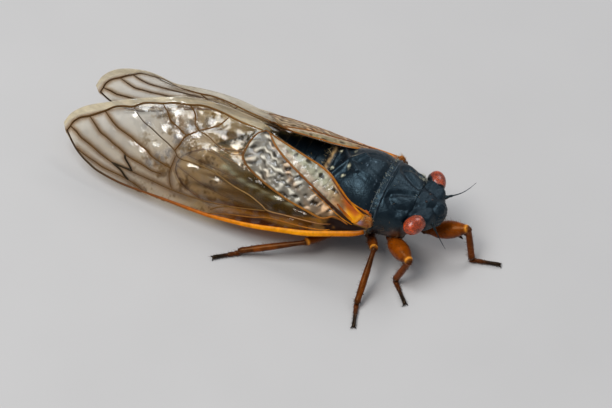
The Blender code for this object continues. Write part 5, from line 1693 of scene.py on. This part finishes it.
def hair_shapes(at, out, length, seed, tone):
    """Curved closed bristles, which lean towards the tail."""
    draw = np.random.default_rng(seed)
    count = len(at)
    lean = np.array(HAIR_LIE) + draw.normal(scale=HAIR_SCATTER, size=(count, 3))
    way = out + lean * HAIR_LEAN
    way /= np.linalg.norm(way, axis=1, keepdims=True)
    lengths = length * draw.uniform(*HAIR_LENGTHS, size=count)
    across = np.cross(way, draw.normal(size=(count, 3)))
    across /= np.linalg.norm(across, axis=1, keepdims=True)
    other = np.cross(way, across)
    rings = []
    for share, radius in HAIR_RINGS:
        middle = at + way * (lengths * share)[:, None] + lean * (
            HAIR_BEND * length * share ** 2) - out * HAIR_SINK
        for side in range(HAIR_SIDES):
            turn = side * math.tau / HAIR_SIDES
            rings.append(middle + radius * (math.cos(turn) * across + math.sin(turn) * other))
    verts = np.stack(rings, axis=1)
    levels = len(HAIR_RINGS)
    each = levels * HAIR_SIDES
    faces = ring_faces(levels, HAIR_SIDES)
    faces += [tuple(reversed(range(HAIR_SIDES))), tuple(range(each - HAIR_SIDES, each))]
    every = [tuple(k + i * each for k in face) for i in range(count) for face in faces]
    shade = draw.uniform(*HAIR_SHADES, size=count)
    paint = np.repeat(np.asarray(tone)[None, :] * shade[:, None], each, axis=0)
    return verts.reshape(-1, 3), every, paint


class CICADA_OT_hairs(bpy.types.Operator):
    """Fine hairs on the thorax, abdomen, legs and wing roots, as real mesh."""

    bl_idname = "cicada.hairs"
    bl_label = "Hairs"

    def execute(self, context):
        length = look().hair_length / MM
        for k, (name, skin, share, tone, size, keep) in enumerate(HAIR_FIELDS):
            sources = [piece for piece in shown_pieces() if piece.name.startswith(skin)]
            if not sources:
                raise RuntimeError("no skin called " + skin)
            count = max(HAIR_FEWEST, int(look().hair_count * share))
            shapes, flats = [], []
            for j, source in enumerate(sources):
                at, out = skin_samples(source, count, 100 + 10 * k + j, keep)
                shapes.append(hair_shapes(at, out, length * size, 200 + 10 * k + j, sea(tone)))
                flats.append(patch_map(at, j, len(sources)))
            verts, faces, paint = join_shapes(shapes)
            verts[:, 2] = np.maximum(verts[:, 2], HAIR_FLOOR)
            made = make_piece("hairs_" + name, verts, faces, "hair", paint=paint, closed=False)
            lay_map(made, "OFBake", np.vstack(flats))
        return {"FINISHED"}


def patch_map(at, strip, strips):
    """Flat places of the hairs' points: each hair has a tiny patch where its root lies."""
    low, high = at.min(axis=0), at.max(axis=0)
    middle = (low + high) / 2
    turn = np.arctan2(at[:, 2] - middle[2], at[:, 1] - middle[1])
    along = (at[:, 0] - low[0]) / (high[0] - low[0])
    root = np.stack([(strip + along) / strips, (turn + math.pi) / math.tau], -1) * (1 - PATCH)
    levels = len(HAIR_RINGS)
    spot = np.arange(HAIR_SIDES * levels)
    inner = np.stack([spot % HAIR_SIDES / (HAIR_SIDES - 1), spot // HAIR_SIDES / (levels - 1)], -1)
    return (root[:, None] + inner[None] * PATCH).reshape(-1, 2)


def lay_map(piece, name, flat):
    """Gives a piece a map from one flat place for each of its points."""
    corners = np.zeros(len(piece.data.loops), dtype=np.int64)
    piece.data.loops.foreach_get("vertex_index", corners)
    layer = piece.data.uv_layers.new(name=name)
    layer.data.foreach_set("uv", flat[corners].ravel())


class CICADA_OT_stage(bpy.types.Operator):
    """Pale floor, soft studio light and the camera at the photograph's angle."""

    bl_idname = "cicada.stage"
    bl_label = "Stage"

    def execute(self, context):
        stage = context.scene.cicada_stage
        bpy.ops.object.select_all(action="DESELECT")
        bpy.ops.mesh.primitive_plane_add(size=FLOOR_SIZE, location=(0, 0, 0))
        floor = context.object
        floor.name = "stage_floor"
        made, tree, shader = new_material("floor_board_matt_paint")
        place = add_node(tree, "ShaderNodeTexCoord").outputs["Object"]
        cloud = add_node(tree, "ShaderNodeTexNoise", {"Vector": place, "Scale": 60.0})
        shade = add_node(tree, "ShaderNodeValToRGB", {"Fac": cloud.outputs["Fac"]},
                         [(0.3, 0.97), (0.7, 1.0)])
        base = add_node(tree, "ShaderNodeMix", {
            0: 1.0, 6: (*stage.floor, 1), 7: shade.outputs["Color"]}, **MULTIPLY)
        feed(tree, shader, {"Base Color": base.outputs[2], "Roughness": 0.85})
        floor.data.materials.append(made)
        floor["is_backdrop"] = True
        for name, (power, way, distance, size, colour) in PANELS.items():
            self.light(name, Vector(way).normalized(), distance, size, getattr(stage, power), colour)
        world = bpy.data.worlds.new("soft_room")
        world.use_nodes = True
        feed(world.node_tree, world.node_tree.nodes["Background"],
             {"Color": ROOM_COLOUR, "Strength": ROOM_STRENGTH})
        context.scene.world = world
        context.scene.view_settings.view_transform = "Standard"
        self.camera(context, stage.camera_distance)
        return {"FINISHED"}

    def light(self, name, way, distance, size, power, colour):
        """A square soft panel that faces the animal."""
        lamp = bpy.data.lights.new(name, "AREA")
        lamp.shape = "SQUARE"
        lamp.size = size
        lamp.energy = power
        lamp.color = colour
        made = bpy.data.objects.new(name, lamp)
        made.location = way * distance
        made.rotation_euler = way.to_track_quat("Z", "Y").to_euler()
        bpy.context.scene.collection.objects.link(made)

    def camera(self, context, distance):
        """The camera, far enough away for the photograph's flat perspective."""
        right, up, back = (Vector(way) for way in (VIEW_RIGHT, VIEW_UP, VIEW_BACK))
        across, high = VIEW_MIDDLE
        aim = Vector(ZERO) + (right * across + up * high) * MM
        lens = bpy.data.cameras.new("photo_camera")
        lens.sensor_width = SENSOR
        lens.lens = SENSOR * distance / (PHOTO_WIDTH / PIXELS_PER_MM * MM)
        lens.clip_start = 0.01
        made = bpy.data.objects.new("photo_camera", lens)
        turned = Matrix((right, up, back)).transposed().to_4x4()
        turned.translation = aim + back * distance
        made.matrix_world = turned
        context.scene.collection.objects.link(made)
        context.scene.camera = made


class CICADA_PT_panel(bpy.types.Panel):
    """Lists the steps and the values that they read."""

    bl_idname = "CICADA_PT_panel"
    bl_label = "Cicada"
    bl_space_type = "VIEW_3D"
    bl_region_type = "UI"
    bl_category = "Cicada"

    def draw(self, context):
        layout = self.layout
        for group in (context.scene.cicada_look, context.scene.cicada_stage):
            for key in group.__annotations__:
                layout.prop(group, key)
        for step in STEPS:
            layout.operator(step.bl_idname)


STEPS = (CICADA_OT_head, CICADA_OT_eyes, CICADA_OT_antennae, CICADA_OT_thorax, CICADA_OT_abdomen,
         CICADA_OT_legs, CICADA_OT_hindwings, CICADA_OT_forewings, CICADA_OT_wing_roots,
         CICADA_OT_hairs, CICADA_OT_stage)
GROUPS = (CicadaLook, CicadaStage)


def register():
    for each in (*GROUPS, *STEPS, CICADA_PT_panel):
        bpy.utils.register_class(each)
    bpy.types.Scene.cicada_look = PointerProperty(type=CicadaLook)
    bpy.types.Scene.cicada_stage = PointerProperty(type=CicadaStage)


def unregister():
    del bpy.types.Scene.cicada_look
    del bpy.types.Scene.cicada_stage
    for each in (CICADA_PT_panel, *STEPS, *GROUPS):
        bpy.utils.unregister_class(each)


def main():
    register()
    bpy.ops.object.select_all(action="DESELECT")
    bpy.ops.cicada.head()
    bpy.ops.cicada.eyes()
    bpy.ops.cicada.antennae()
    bpy.ops.cicada.thorax()
    bpy.ops.cicada.abdomen()
    bpy.ops.cicada.legs()
    bpy.ops.cicada.hindwings()
    bpy.ops.cicada.forewings()
    bpy.ops.cicada.wing_roots()
    bpy.ops.cicada.hairs()
    bpy.ops.cicada.stage()
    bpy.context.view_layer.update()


if __name__ == "__main__":
    main()
